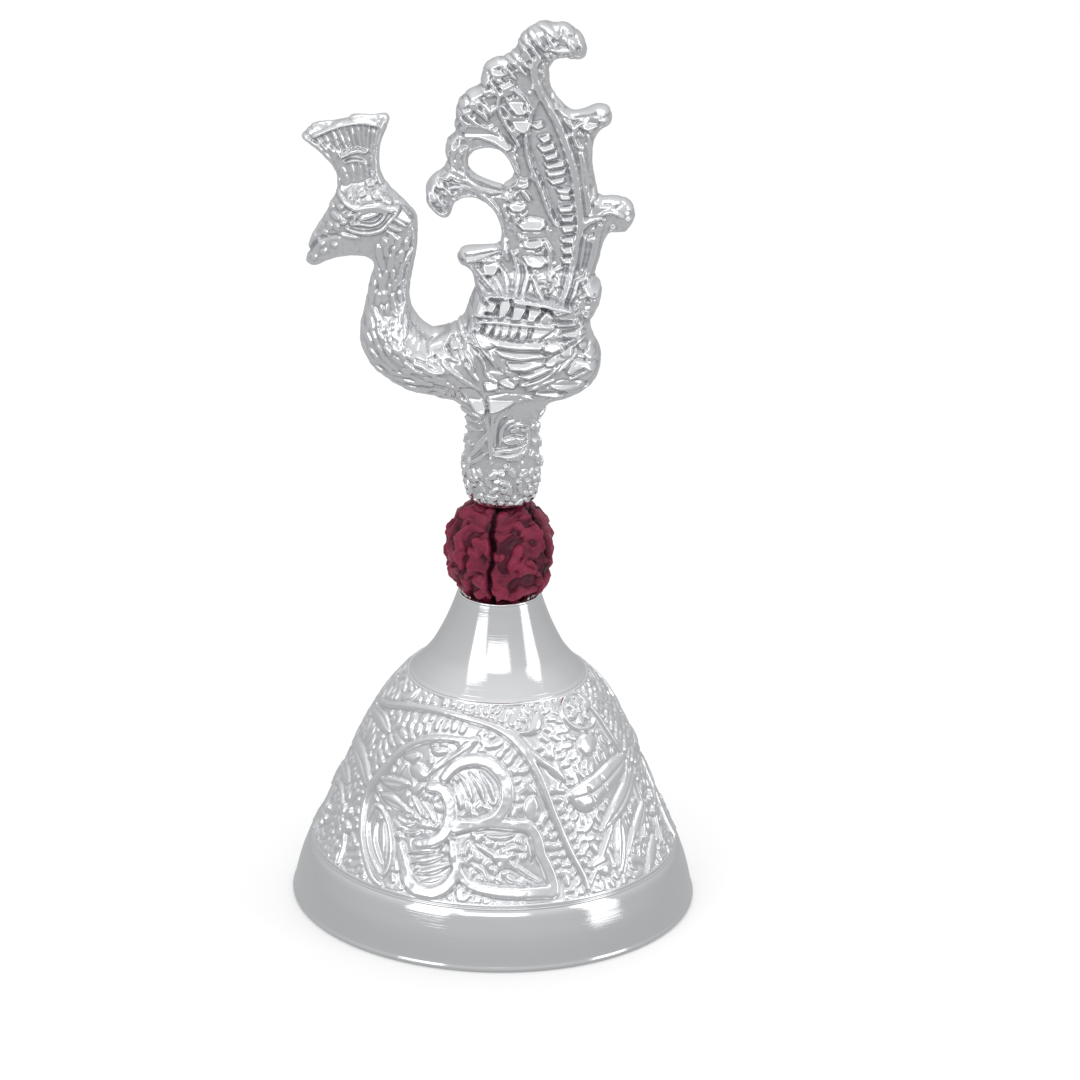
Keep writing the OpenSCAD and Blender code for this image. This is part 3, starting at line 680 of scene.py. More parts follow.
P_BODY = [(-20.8, 86.7), (-20.6, 89.7), (-19, 91.6), (-16, 91.4), (-13.4, 90.4), (-11.1, 88.9), (-9.6, 88.5),
          (-7.8, 89.1), (-6.3, 90.5), (-5.3, 92.2), (-4.4, 94.6), (-2.5, 95.4), (2, 95.2), (7, 94.4), (11, 93.5),
          (13.4, 93.2), (12.8, 91.3), (12.1, 90.1), (12.7, 88.0), (13.9, 86.4), (14.2, 84.5), (13.8, 82.1),
          (12.4, 80.1), (9.8, 78.5), (7.2, 77.7), (4.5, 77.2), (0, 76.8), (-4, 77.0), (-7.3, 77.6), (-10.1, 78.3),
          (-13.2, 78.9), (-16.3, 80.2), (-18.8, 82.2), (-20.3, 84.4)]
P_NECK = [(-20.6, 86.5), (-20.5, 89.7), (-20.2, 92.9), (-19.8, 95.5), (-19.3, 97.4), (-19.5, 98.5), (-20.8, 99.1),
          (-23.0, 99.0), (-25.2, 98.4), (-27.0, 97.6), (-28.1, 97.5), (-28.9, 98.1), (-28.9, 99.1), (-28.3, 101.8),
          (-27.3, 103.6), (-26.0, 106.1), (-25.1, 108.2), (-24.4, 109.4), (-22, 110.3), (-18.5, 110.8),
          (-16.5, 109.5), (-14.7, 107.9), (-13.0, 106.0), (-12.6, 104.8), (-12.6, 101.8), (-12.9, 99.1),
          (-13.4, 96.3), (-13.7, 94.0), (-13.5, 92.1), (-12.6, 90.0), (-11.5, 86), (-14, 83), (-18, 83)]
P_CREST = [(-24.4, 108.6), (-24.5, 111.1), (-25.5, 113.0), (-27.2, 114.8), (-29.0, 116.2), (-29.6, 117.2),
           (-28.1, 118.9), (-25.0, 119.6), (-23.2, 119.8), (-22.1, 120.4), (-18.1, 120.6), (-17.2, 120.3),
           (-17.0, 119.3), (-18.1, 116.2), (-18.3, 114.7), (-18.2, 112.4), (-17.6, 110.9), (-16.8, 109.4),
           (-19, 107.5), (-22, 107)]
WING = [(-5.2, 92.6), (-4.2, 94.8), (-2.6, 95.6), (3.1, 95.1), (9.7, 93.9), (10.6, 92.2), (12.4, 90.2), (12.9, 88.2),
        (13.6, 86.2), (13.4, 84.0), (11.4, 82.0), (8.0, 81.2), (4.0, 81.2), (1.6, 82.6), (-0.6, 84.6), (-3.4, 87.2),
        (-5.0, 89.6)]

TAIL = {
 "rib_r": [(4.0, 129.8), (3.4, 128.8), (3.4, 127.2), (3.9, 125.9), (4.5, 124.4), (5.7, 122.4), (6.9, 120.2), (7.9, 117.7),
     (8.8, 115.1), (9.4, 113.1), (9.8, 110.8), (10.1, 108.3), (10.4, 106.2), (10.4, 104.4), (9.9, 102.6), (9.7, 100.1),
     (9.3, 98.2), (8.7, 96.1), (8.1, 94.2)],
 "rib_l": [(2.4, 118.6), (2.6, 116.3), (3.2, 114.1), (4.0, 112.3), (4.9, 110.2), (5.8, 107.7), (6.9, 105.4), (7.6, 104.9)],
 "rib_l2": [(5.4, 102.6), (6.2, 101.1), (6.3, 99.1), (6.3, 97.0)],
 "edge_r": [(5.8, 128.9), (6.0, 126.8), (6.5, 125.0), (7.9, 123.3), (9.0, 122.4)],
 "rib_r2": [(6.4, 124.1), (7.5, 121.9), (8.8, 119.9)],
 "rib_r3": [(10.3, 115.8), (10.7, 113.8), (11.0, 111.5), (11.4, 109.2), (11.6, 106.9)],
 "rib_r4": [(13.2, 105.2), (12.8, 102.9), (12.4, 100.6), (11.9, 98.5), (11.6, 97.3)],
 "bars": [(5.2, 117.6), (5.6, 116.3), (6.1, 115.0), (6.7, 113.7), (6.9, 112.6), (7.3, 111.4), (7.8, 110.2), (8.3, 109.0),
     (8.4, 107.2), (8.6, 105.8), (8.8, 104.4), (8.7, 102.7), (8.7, 101.0), (8.6, 99.5), (8.3, 98.4), (8.1, 96.9), (7.7, 95.3)],
 "oval": [(0.5, 125.2), (-0.9, 124.8), (-1.6, 123.5), (-1.4, 121.9), (-0.5, 120.1), (0.7, 118.2), (1.5, 116.8)],
 "oval2": [(0.5, 125.2), (1.8, 124.0), (2.6, 122.7), (3.0, 120.9), (2.9, 119.3), (2.3, 118.8), (1.5, 119.5)],
 "hatch": [[(-0.6, 124.0), (0.3, 122.6), (1.2, 121.3)], [(0.5, 124.0), (1.6, 122.7), (2.5, 121.7)], [(-0.9, 122.6),
     (0.3, 121.3), (1.5, 120.4)], [(-0.5, 121.0), (0.6, 120.4), (1.7, 119.3)]],
 "lobe1": [[(-3.9, 127.7), (-2.9, 126.2), (-1.7, 124.9)], [(-3.4, 128.8), (-2.1, 127.2), (-0.6, 125.8)], [(-2.4, 129.5),
     (-0.7, 128.3), (0.9, 126.7)], [(-1.3, 130.0), (0.6, 129.0), (2.4, 127.2)], [(-0.3, 130.5), (1.3, 129.4), (2.8, 128.3)]],
 "lobe2": [[(-7.1, 122.5), (-5.5, 120.7), (-3.1, 118.8)], [(-7.2, 121.1), (-5.9, 119.8), (-4.4, 119.4)], [(-6.4, 123.4),
     (-4.7, 122.1), (-2.9, 120.5)], [(-5.4, 123.9), (-3.8, 122.8), (-2.5, 121.2)], [(-7.0, 123.8), (-6.2, 124.2),
     (-4.3, 124.6)]],
 "lobe3": [[(-8.8, 114.3), (-8.6, 116.1), (-7.4, 117.8)], [(-8.1, 113.6), (-7.9, 115.4), (-7.0, 117.0)], [(-7.2, 113.1),
     (-7.3, 114.7), (-6.3, 116.4)], [(-8.7, 117.9), (-8.0, 119.0), (-7.2, 120.0)]],
 "arch": [(-6.5, 119.1), (-4.2, 119.1), (-2.0, 118.3), (-0.4, 117.1), (0.7, 116.2)],
 "arch2": [(-6.1, 117.8), (-4.4, 118.2), (-2.4, 117.6), (-0.6, 116.4), (0.6, 114.7), (1.4, 112.9)],
 "top": [[(1.0, 131.9), (2.1, 130.8), (3.1, 129.5)], [(1.6, 132.5), (3.0, 131.5), (3.8, 130.3)], [(2.6, 133.4),
     (3.8, 132.2), (4.9, 131.1)], [(3.5, 134.6), (5.3, 134.0), (6.6, 132.9)], [(5.3, 135.1), (7.2, 134.7), (8.8, 133.4)],
     [(5.6, 131.3), (7.3, 131.1), (9.0, 131.4)], [(2.0, 133.7), (3.1, 134.6), (4.4, 135.1)], [(9.4, 133.2), (10.0, 132.3),
     (10.1, 131.4)]],
 "curl_band": [(-10.7, 108.9), (-11.2, 110.3), (-10.2, 112.4), (-8.4, 112.7), (-6.7, 112.0), (-4.7, 111.4),
     (-2.7, 110.4), (-1.0, 110.9)],
 "curl_rim": [(-8.1, 110.5), (-6.2, 110.6), (-4.4, 110.0), (-2.7, 108.4), (-1.4, 106.6), (-0.8, 104.3), (-0.5, 102.1),
     (0.2, 99.8)],
 "blobs": [(1.6, 111.3), (1.5, 107.7), (3.7, 105.1), (4.0, 102.1), (4.1, 99.4), (12.5, 96.0), (-3.6, 93.2), (2.3, 119.4),
     (11.7, 119.9), (2.6, 109.5)],
 "knob_r": [[(8.2, 121.8), (10.3, 122.1), (12.3, 122.7), (13.7, 122.6)], [(9.1, 119.4), (10.6, 120.6), (12.3, 121.2),
     (14.1, 120.9)], [(13.5, 109.5), (15.5, 109.1), (17.0, 108.6), (17.8, 107.5)], [(11.8, 106.5), (13.3, 107.0),
     (14.9, 107.5), (16.6, 106.8)], [(10.8, 104.6), (11.8, 105.8), (13.4, 106.3)]],
 "spur": [[(-6.8, 100.6), (-5.2, 101.2), (-3.0, 101.4), (-1.0, 101.3)], [(-5.8, 99.5), (-3.6, 99.8), (-1.0, 98.9)],
     [(-4.2, 98.4), (-2.7, 96.8), (-0.9, 95.0)], [(-2.9, 98.6), (-1.3, 96.8), (-0.1, 94.7)], [(-1.0, 98.9), (-0.0, 97.1),
     (0.3, 94.8)], [(-4.0, 96.5), (-2.9, 95.1), (-2.0, 93.8)], [(0.8, 100.8), (1.7, 98.0), (1.3, 94.3)], [(2.8, 99.0),
     (3.0, 97.1), (2.2, 94.3)], [(3.9, 97.2), (4.6, 95.8), (5.5, 94.4)]],
}
BODY = {
 "row1_top": [(-2.6, 95.2), (0.0, 95.0), (3.1, 94.7), (6.4, 94.1), (9.7, 93.5)],
 "sep": [(-5.0, 92.5), (-1.9, 92.3), (1.4, 92.0), (4.9, 91.4), (7.6, 91.3), (10.0, 91.4)],
 "row2_bot": [(-4.9, 90.0), (-2.3, 89.3), (1.0, 88.4), (3.9, 88.3), (5.4, 88.1)],
 "long": [[(-4.4, 90.1), (-1.6, 88.8), (1.5, 87.9), (5.2, 87.8)], [(-0.9, 87.0), (1.1, 86.5), (3.3, 86.3), (5.7, 86.4)],
     [(0.6, 85.0), (2.4, 84.7), (4.4, 84.9), (6.4, 85.9)], [(1.6, 83.4), (3.8, 83.6), (5.5, 84.3), (7.3, 85.3)],
     [(2.3, 82.2), (4.2, 82.7), (6.2, 83.7), (8.1, 85.6)]],
 "fan": [[(6.1, 86.2), (7.7, 87.0), (9.4, 87.9), (11.6, 89.1)], [(6.6, 85.3), (8.1, 86.3), (9.9, 87.0)], [(7.7, 84.4),
     (9.0, 85.8), (10.3, 87.0)], [(11.4, 86.3), (12.3, 87.5), (12.9, 88.0)], [(9.9, 84.2), (11.0, 85.4), (13.0, 85.4)],
     [(9.5, 83.3), (11.7, 84.2), (13.2, 84.5)], [(6.2, 81.8), (8.4, 82.5), (11.3, 82.0)], [(4.7, 80.8), (6.3, 80.6),
     (7.8, 80.3)], [(3.4, 81.3), (5.4, 82.5), (7.3, 83.2)], [(7.6, 89.7), (9.4, 90.0), (11.5, 91.0)], [(8.3, 88.6),
     (9.8, 89.1), (11.8, 89.8)], [(7.3, 92.5), (8.6, 93.0), (10.2, 93.3)], [(10.6, 94.7), (11.6, 95.2), (13.0, 95.4)]],
 "belly": [[(-5.9, 80.5), (-4.5, 79.7), (-3.0, 78.5)], [(-2.1, 79.0), (-0.5, 79.5), (1.2, 79.9)], [(-2.6, 81.4),
     (-1.5, 81.6), (-0.6, 81.2)], [(-0.4, 81.9), (0.7, 82.2), (1.8, 82.2)], [(-10.8, 83.7), (-8.8, 82.4), (-6.7, 81.0)],
     [(-7.5, 84.0), (-5.5, 82.5), (-3.4, 81.1)], [(0.4, 78.4), (1.2, 79.6), (3.4, 80.1)], [(1.2, 80.7), (2.5, 80.5),
     (4.8, 79.6)]],
 "shoulder": [[(-9.7, 86.1), (-8.6, 87.3), (-7.5, 88.7)], [(-7.3, 88.7), (-6.4, 87.3), (-5.9, 85.5)], [(-8.8, 85.0),
     (-8.2, 85.9), (-6.8, 85.5)], [(-5.7, 86.9), (-4.8, 85.5), (-4.4, 84.1)], [(-4.7, 87.4), (-3.3, 86.2), (-2.6, 84.4)],
     [(-3.3, 87.6), (-2.2, 86.5), (-1.1, 84.9)], [(-6.9, 90.1), (-5.6, 88.5), (-3.8, 87.9)], [(-5.5, 85.0), (-4.6, 83.9),
     (-3.7, 82.7)], [(-2.8, 84.2), (-1.9, 83.2), (-1.0, 82.8)]],
}
HEAD = {
 "rim_l": [(-30.2, 117.7), (-28.6, 116.5), (-27.0, 115.2), (-25.7, 113.5), (-24.9, 111.9), (-24.4, 110.3)],
 "rim_r": [(-17.4, 120.1), (-18.5, 118.1), (-18.8, 116.1), (-19.0, 114.0), (-18.8, 112.1), (-18.2, 110.8)],
 "top": [(-30.2, 118.0), (-28.2, 119.1), (-25.7, 119.7), (-23.9, 120.0), (-22.1, 120.4), (-19.8, 120.8), (-17.5, 120.5)],
 "bar_top": [(-27.7, 117.4), (-25.9, 118.2), (-23.9, 119.1), (-21.6, 119.5), (-19.0, 119.2)],
 "bar_mid": [(-24.0, 114.4), (-22.8, 115.0), (-21.5, 115.3), (-20.4, 115.2)],
 "bar_mid2": [(-23.3, 113.5), (-22.3, 113.9), (-20.8, 113.8)],
 "ribs": [[(-25.3, 118.3), (-24.6, 116.5), (-23.8, 114.9)], [(-24.5, 118.5), (-23.8, 116.8), (-23.0, 115.3)],
     [(-23.5, 118.7), (-23.0, 117.0), (-22.4, 115.5)], [(-22.6, 118.9), (-22.2, 117.1), (-21.8, 115.6)], [(-21.7, 119.0),
     (-21.4, 117.4), (-21.1, 115.7)], [(-20.8, 119.0), (-20.7, 117.3), (-20.5, 115.6)], [(-19.9, 118.9), (-20.1, 116.9),
     (-20.1, 115.3)], [(-19.2, 118.7), (-19.5, 116.7), (-19.6, 114.5)], [(-26.4, 117.8), (-25.8, 116.2), (-25.0, 114.9)],
     [(-27.4, 117.1), (-26.6, 116.1), (-25.9, 115.2)], [(-22.5, 113.3), (-22.2, 112.1), (-21.9, 110.9)], [(-21.4, 113.5),
     (-21.1, 112.5), (-20.9, 111.3)], [(-20.4, 113.6), (-20.2, 112.6), (-20.0, 111.7)], [(-23.6, 112.8), (-23.2, 111.5),
     (-22.8, 110.4)], [(-19.6, 114.0), (-19.5, 112.7), (-19.3, 111.3)]],
 "brow": [(-24.1, 109.0), (-23.0, 108.0), (-21.6, 107.4), (-20.1, 107.7), (-18.6, 107.8), (-17.1, 107.3), (-15.6, 107.2)],
 "eye_up": [(-22.3, 105.1), (-21.4, 106.5), (-20.2, 107.1), (-18.8, 107.3), (-17.4, 106.8)],
 "eye_lo": [(-22.3, 105.1), (-20.9, 105.2), (-19.3, 105.1), (-18.1, 105.7), (-17.4, 106.8)],
 "eye_ball": [(-21.1, 105.9), (-20.0, 106.4), (-18.6, 106.8)],
 "lid": [(-22.9, 104.4), (-21.3, 103.9), (-19.6, 103.9), (-17.9, 104.4), (-16.8, 105.6), (-15.6, 107.0)],
 "mouth": [(-28.3, 99.7), (-27.5, 101.2), (-26.2, 102.5), (-24.0, 103.3)],
 "beak_u": [(-28.3, 100.6), (-27.8, 102.5), (-27.0, 104.2), (-26.2, 106.3)],
 "cheek": [(-24.0, 103.4), (-22.6, 103.2), (-21.1, 103.0)],
 "tufts": [[(-16.9, 104.9), (-16.0, 104.4), (-15.0, 104.2)], [(-16.0, 105.8), (-15.0, 105.1), (-14.3, 104.7)],
     [(-17.0, 104.1), (-16.2, 103.3), (-15.6, 102.8)], [(-17.5, 102.9), (-17.2, 102.2), (-16.9, 101.7)]],
}

FACETS = [
    (0.15, [(-4.2, 94.6), (-2.6, 93.7), (-3.4, 92.9), (-4.5, 92.4)]),
    (0.25, [(-2.1, 94.3), (-1.2, 94.1), (-1.8, 93.1), (-2.7, 93.2)]),
    (0.32, [(-0.7, 94.3), (0.4, 94.6), (0.8, 93.9), (-0.1, 92.6), (-1, 92.4)]),
    (0.33, [(1.3, 93.9), (2.9, 94.2), (3, 93.5), (2.1, 92.2), (0.9, 92.1)]),
    (0.26, [(3.5, 93.5), (4.6, 93.8), (5.3, 93.2), (4.5, 92.4), (4.1, 91.8), (3.1, 91.9)]),
    (0.09, [(4.9, 92), (6, 93.2), (7, 92.3), (5.4, 91.4)]),
    (0.47, [(6.1, 93.7), (9.6, 93.4), (7.4, 92.8)]),
    (0.27, [(1.2, 94.6), (6.6, 94.2), (9.9, 93.6), (9.4, 93.3), (5.5, 93.8), (1.2, 94.3)]),
    (0.32, [(-4.6, 91.3), (-3.9, 91.3), (-4.7, 89.8), (-5, 89.5), (-5.2, 89.7)]),
    (0.16, [(-3.8, 91.2), (-3.3, 91.2), (-3.7, 90.2), (-3.9, 89.9), (-4.1, 90.1)]),
    (0.16, [(-2.4, 91.4), (-1.6, 91.5), (-2.3, 89.9), (-2.5, 89.6), (-2.9, 89.8)]),
    (0.21, [(-1.2, 91.4), (-0.5, 91.4), (-1, 89.8), (-1.3, 89.6), (-1.6, 89.8)]),
    (0.09, [(-0.2, 91.3), (0.6, 91.2), (0.2, 89.7), (-0.1, 89.5), (-0.5, 89.7)]),
    (0.08, [(1.1, 91.2), (1.9, 91.1), (1.4, 89.6), (1.1, 89.4), (0.7, 89.6)]),
    (0.1, [(2.4, 91), (3.3, 90.9), (2.9, 89.4), (2.5, 89.2), (2.1, 89.4)]),
    (0.13, [(4.4, 90.9), (7.1, 90.8), (5.7, 89.9), (4.4, 89.1), (3.8, 89.4)]),
    (0.02, [(-4.2, 91.6), (-1, 91.8), (4, 91.3), (7, 91), (6.7, 90.8), (2.9, 91), (-1.5, 91.4), (-4.2, 91.2)]),
    (0.37, [(-5.7, 89.2), (-4.4, 89.6), (-1.7, 89.2), (1.6, 88.7), (5.4, 88.9), (5.8, 88.4), (5.2, 88), (1.3, 88),
     (-2, 88.4), (-5.3, 88.7)]),
    (0.4, [(-1.1, 87.5), (1.6, 87.3), (5.1, 87.2), (6, 86.8), (2.4, 86.5), (-0.2, 86.8)]),
    (0.48, [(0.5, 85.7), (3.5, 85.8), (5.8, 86.2), (5.5, 85.6), (3, 84.8), (1, 84.9)]),
    (0.49, [(2, 84), (4.1, 84.3), (5.7, 85), (7.1, 85.9), (5.9, 84.5), (3.6, 83.5)]),
    (0.3, [(6.7, 88.6), (8.4, 88.9), (9, 88.5), (7.4, 88)]),
    (0.49, [(5.9, 86), (7.1, 86.8), (8.4, 87), (7, 85.6), (6.2, 85.5)]),
    (0.24, [(8.1, 87.5), (9.7, 87.7), (9.6, 87), (8.5, 86.9)]),
    (-0.02, [(10.8, 88.1), (11.7, 87.9), (11.6, 87.4), (10.9, 87.6)]),
    (-0.1, [(11.4, 86.9), (12.5, 87.2), (12.9, 86.6), (12.6, 85.7), (12, 86.1)]),
    (0.42, [(9.1, 84.6), (10.2, 85.9), (12.8, 85.4), (13.2, 84.6), (12.9, 84.1), (11.3, 85.1), (10.2, 84.6),
     (9.4, 84.2)]),
    (0.95, [(6.6, 82.5), (8.5, 83.1), (11.3, 82.6), (11.6, 81.9), (9.7, 81.5), (7.4, 81.9)]),
    (0.95, [(5.2, 81.3), (6.4, 81.6), (8.7, 80.6), (8.3, 80.1), (6, 80.3), (4.5, 80.7)]),
    (0.33, [(8.3, 90.1), (10.8, 90.6), (11.4, 89.9), (10, 89.6), (8.8, 89.6)]),
    (0.3, [(6.3, 88.8), (5.7, 87.8), (6.8, 87.5), (8.4, 88), (7.8, 88.3)]),
    (0.68, [(-2.7, 82.3), (-1, 82.7), (-0.9, 81.8), (-2.4, 81.4)]),
    (0.71, [(-0.5, 82.6), (1.1, 83.4), (2, 82.9), (1.4, 81.9), (0.4, 82.2)]),
    (0.95, [(-6, 81), (-4.2, 81.1), (-2.6, 78.9), (-2.9, 76.5), (-5.1, 79.4)]),
    (0.95, [(-2.1, 80.1), (0.4, 80.8), (2.3, 80.5), (1.2, 79.4), (-0.7, 78.5), (-1.9, 78.1)]),
    (-0.1, [(11.1, 96.1), (12.3, 97.2), (13.2, 96.8), (13.8, 95.9), (12.9, 95.5), (11.8, 95.1)]),
    (-0.1, [(-10.8, 87.1), (-7.9, 88.3), (-8.5, 87.3), (-9.6, 86.3), (-10.7, 85.9)]),
    (-0.1, [(-7.5, 88), (-6.4, 88), (-6, 87.3), (-7.4, 86.9), (-7.8, 87.3)]),
    (-0.1, [(-9.8, 86.3), (-8.6, 86.9), (-7.6, 86), (-9.3, 85.7)]),
    (0.11, [(-5.1, 88.3), (-3.9, 88.6), (-1.7, 88.1), (-2.5, 87.8), (-4.2, 87.8)]),
    (0.52, [(4.3, 118), (5.6, 118.3), (5.9, 117.8), (5, 117.3)]),
    (0.51, [(4.3, 116.6), (6.2, 117), (6.6, 116.5), (4.9, 115.9)]),
    (0.53, [(5.2, 115.3), (6.7, 115.7), (7, 115.2), (5.4, 114.7)]),
    (0.51, [(5.3, 113.9), (7.7, 114.4), (8, 113.9), (5.7, 113.4)]),
    (0.47, [(5.6, 112.9), (8, 113.2), (8.1, 112.7), (6.8, 112.4), (5.8, 112.3)]),
    (0.49, [(5.9, 111.7), (7.8, 112.1), (8, 111.5), (6.4, 111.1)]),
    (0.56, [(7, 110.4), (8.8, 110.3), (8.7, 109.7), (7.3, 109.8)]),
    (0.46, [(7.5, 109.4), (8.8, 109.4), (8.9, 108.9), (7.7, 108.9)]),
    (0.46, [(7.4, 107.6), (9.2, 107.8), (9.3, 107.2), (7.6, 107)]),
    (0.54, [(7.8, 106.1), (9.4, 106.2), (9.4, 105.6), (8, 105.6)]),
    (0.49, [(7.9, 104.9), (9.6, 105), (9.4, 104.2), (8.2, 104)]),
    (0.52, [(7.8, 103), (9.4, 103.2), (9.4, 102.4), (8.1, 102.5)]),
    (0.52, [(8, 101.5), (9.3, 101.7), (9.4, 100.9), (8.3, 100.8)]),
    (0.5, [(8, 100), (9.2, 100.1), (9.4, 99.4), (8.3, 99.3)]),
    (0.59, [(3.2, 119.8), (4.5, 120.2), (4.9, 119.7), (4, 119.3)]),
    (0.48, [(1.6, 105.1), (3.3, 106), (4.8, 105.8), (5.4, 105.1), (4.8, 104.4), (2.3, 104.4)]),
    (0.51, [(0.2, 107.8), (1.2, 108.2), (2.2, 108), (2.5, 107.5), (1.7, 107.1), (0.7, 107.2)]),
    (0.04, [(-0.8, 110.7), (0.6, 111.3), (2.7, 111.8), (2.9, 111.3), (1.4, 110.7), (-0.2, 110.4)]),
    (0.54, [(2.4, 102.4), (4.9, 102.7), (5.3, 102.1), (4.1, 101.6), (3.1, 101.6)]),
    (0.49, [(2.5, 100), (5.2, 100.1), (5.8, 99.4), (3.9, 98.7), (3.2, 99)]),
    (0.5, [(-6, 119.3), (-3.9, 119.3), (-1.4, 118.2), (0.4, 116.6), (-0.3, 116.2), (-2.1, 117.3), (-4.2, 118),
     (-6.3, 118)]),
    (-0.1, [(-5.7, 112), (-3.3, 110.9), (-1.2, 110.6), (-0.9, 109.7), (-2.5, 109.5), (-4.5, 110.3), (-5.9, 111.3)]),
    (-0.1, [(6.7, 122.5), (8.6, 121.6), (12.1, 122.6), (13.9, 122.6), (14.3, 121.9), (11.4, 121.3), (9.1, 120.8),
     (7.8, 121.4)]),
    (0.53, [(-0.2, 123.5), (1.3, 123.9), (2.2, 123.3), (1.4, 122.5), (2.2, 121.7), (1.1, 121.6), (0.3, 122.5)]),
    (0.58, [(0.3, 120.5), (1.7, 120.9), (3, 120.4), (2.8, 119.3), (2, 118.9), (1.1, 119.5)]),
    (-0.1, [(-5.8, 124.2), (-4.1, 125), (-3.2, 124.6), (-4.8, 123.7), (-5.7, 123.7)]),
    (-0.1, [(-3.6, 128.4), (-2.3, 129), (-1.5, 128.7), (-2.3, 127.9), (-3.6, 127.6)]),
    (-0.1, [(-6.6, 100.6), (-4.9, 101.3), (-2.3, 101.4), (-1.2, 100.8), (-2.8, 100.2), (-5.1, 99.8), (-6.5, 99.9)]),
    (-0.1, [(12.7, 108.6), (13.5, 109.2), (15.8, 109.1), (16.1, 108.5), (13.5, 107.7), (12, 106.8)]),
    (0.54, [(-1.5, 125.6), (0, 126.3), (0.6, 125.8), (-1, 125.1)]),
    (0.29, [(-3.9, 126.9), (-3.3, 127.4), (-3.1, 126.3), (-3.5, 125.5), (-4, 125.8)]),
    (0.46, [(-2.8, 127.6), (-1.6, 127.9), (-0.5, 127.4), (-1.3, 127.1), (-2.3, 127.2)]),
    (-0.1, [(-7.2, 122.8), (-6.3, 123.3), (-6.1, 122.6), (-7, 122.2)]),
    (0.65, [(10.4, 119.8), (11.4, 120.8), (12.4, 120.7), (12.5, 120.1), (11.2, 119.5)]),
    (-0.1, [(-9.2, 112.5), (-8.2, 112.3), (-8.4, 111.5), (-9.5, 111.7)]),
    (0.43, [(-3.3, 98.8), (-1.8, 99.5), (-1, 99), (-1.7, 97.7), (-3, 97.7)]),
]

hole = HS.poly(smooth(P_HOLE, 4), 8)
d_tail = np.minimum(HS.poly(smooth(P_TAIL, 4), 8), -hole)
d_body = HS.poly(smooth(P_BODY, 4), 12)
d_neck = HS.poly(smooth(P_NECK, 4), 8)
d_crest = HS.poly(smooth(P_CREST, 3), 8)
SX, SZ = HS.x[:, None], HS.z[None, :]


def spot(cx, cz, r, a):
    return a * np.exp(-((SX - cx) ** 2 + (SZ - cz) ** 2) / (r * r))


# half thickness of the tail, thicker where its tips curl over
t_tail = (2.2 + spot(12.8, 121.2, 2.0, 0.6) + spot(16.4, 106.2, 2.4, 0.9) + spot(7.6, 132, 3.4, 0.9)
          + spot(-9.8, 108.2, 2.6, 0.8) + spot(-5.2, 99.6, 2.2, 0.7) + spot(12.9, 95.0, 1.6, 0.5)
          + spot(-6.5, 122.0, 2.4, 0.3) + spot(-8.0, 115.5, 2.0, 0.3))
t_tail = t_tail + 2.2 * step(99, 93, SZ)
# the right-hand edge falls away in two places
t_tail = t_tail - 1.25 * step(10.9, 12.6, SX) * step(109.2, 110.6, SZ) * step(118.0, 116.6, SZ)
t_tail = t_tail - 1.1 * step(4.6, 6.6, SX) * step(122.6, 124.0, SZ) * step(129.4, 128.0, SZ)
t_neck = np.where(SX + 0 * SZ < -24, 3.3 - 0.42 * (-24 - SX), 3.3) + 0 * SZ
t_neck = t_neck + 0.75 * np.exp(-((SX + 19.5) ** 2 + (SZ - 105) ** 2) / 16) + 1.3 * step(95, 87, SZ)
t_body = 6.75 - 1.2 * step(-10, -20, SX) - 0.17 * np.maximum(0, SZ - 86.5)

# relief, in millimetres
REL = HS.zeros()
SUNK = HS.zeros()


def strokes(items, w, a, n=4, taper=0.5, flat=0.0):
    for P in (items if isinstance(items[0], list) else [items]):
        HS.ridge(REL, smooth(P, n, closed=False), w, a, taper=taper, flat=flat)


def double(P, w, a, cut=0.16, depth=0.3):
    """A long quill: a raised ridge with a fine groove along it."""
    HS.ridge(REL, smooth(P, 4, closed=False), w, a, taper=0.3)
    HS.groove(REL, smooth(P, 4, closed=False), cut, depth)


# tail ---------------------------------------------------------------
lane = HS.poly(smooth(TAIL["rib_l"] + [(8.0, 100.0), (7.4, 95.0)] + TAIL["rib_r"][::-1][:-4], 3), 3)
SUNK -= 0.35 * step(-0.1, 0.5, lane)
strokes(TAIL["rib_l"], 0.5, 0.62, taper=0.3)
strokes(TAIL["rib_l2"], 0.45, 0.55, taper=0.3)
double(TAIL["rib_r"], 0.72, 0.72)
strokes(TAIL["edge_r"], 0.42, 0.55, taper=0.3)
for k in ("rib_r2", "rib_r3", "rib_r4"):
    double(TAIL[k], 0.55, 0.5)
strokes(TAIL["oval"], 0.38, 0.6, taper=0.2)
strokes(TAIL["oval2"], 0.34, 0.55, taper=0.2)
strokes(TAIL["hatch"], 0.36, 0.5)
HS.bump(REL, (1.3, 119.4), 1.3, 0.75, 1.2, 0.7)
for k in ("lobe1", "lobe2", "lobe3"):
    strokes(TAIL[k], 0.42, 0.5, taper=0.6)
for k, (x, z) in enumerate([(-3.4, 124.6), (-1.9, 126.6), (-6.6, 120.2), (-5.0, 122.9), (-3.5, 121.2), (-8.3, 116.4),
                            (-7.5, 113.9), (3.6, 130.6), (5.6, 132.4), (8.6, 131.9)]):
    HS.bump(REL, (x, z), 0.95, 0.4, 2.2 + 0.3 * math.sin(3.1 * k), 0.52)
strokes([(-3.3, 125.0), (-1.4, 124.4), (0.2, 124.6)], 0.45, 0.5)
double(TAIL["arch"], 0.75, 0.6, cut=0.14)
double(TAIL["arch2"], 0.62, 0.5, cut=0.14)
strokes([(-7.0, 117.6), (-7.1, 115.6), (-6.7, 113.6), (-5.9, 112.3)], 0.32, 0.45)
strokes([(-6.0, 116.4), (-6.3, 114.8), (-6.1, 113.2), (-5.6, 112.2)], 0.28, 0.4)
strokes(TAIL["top"], 0.42, 0.45)
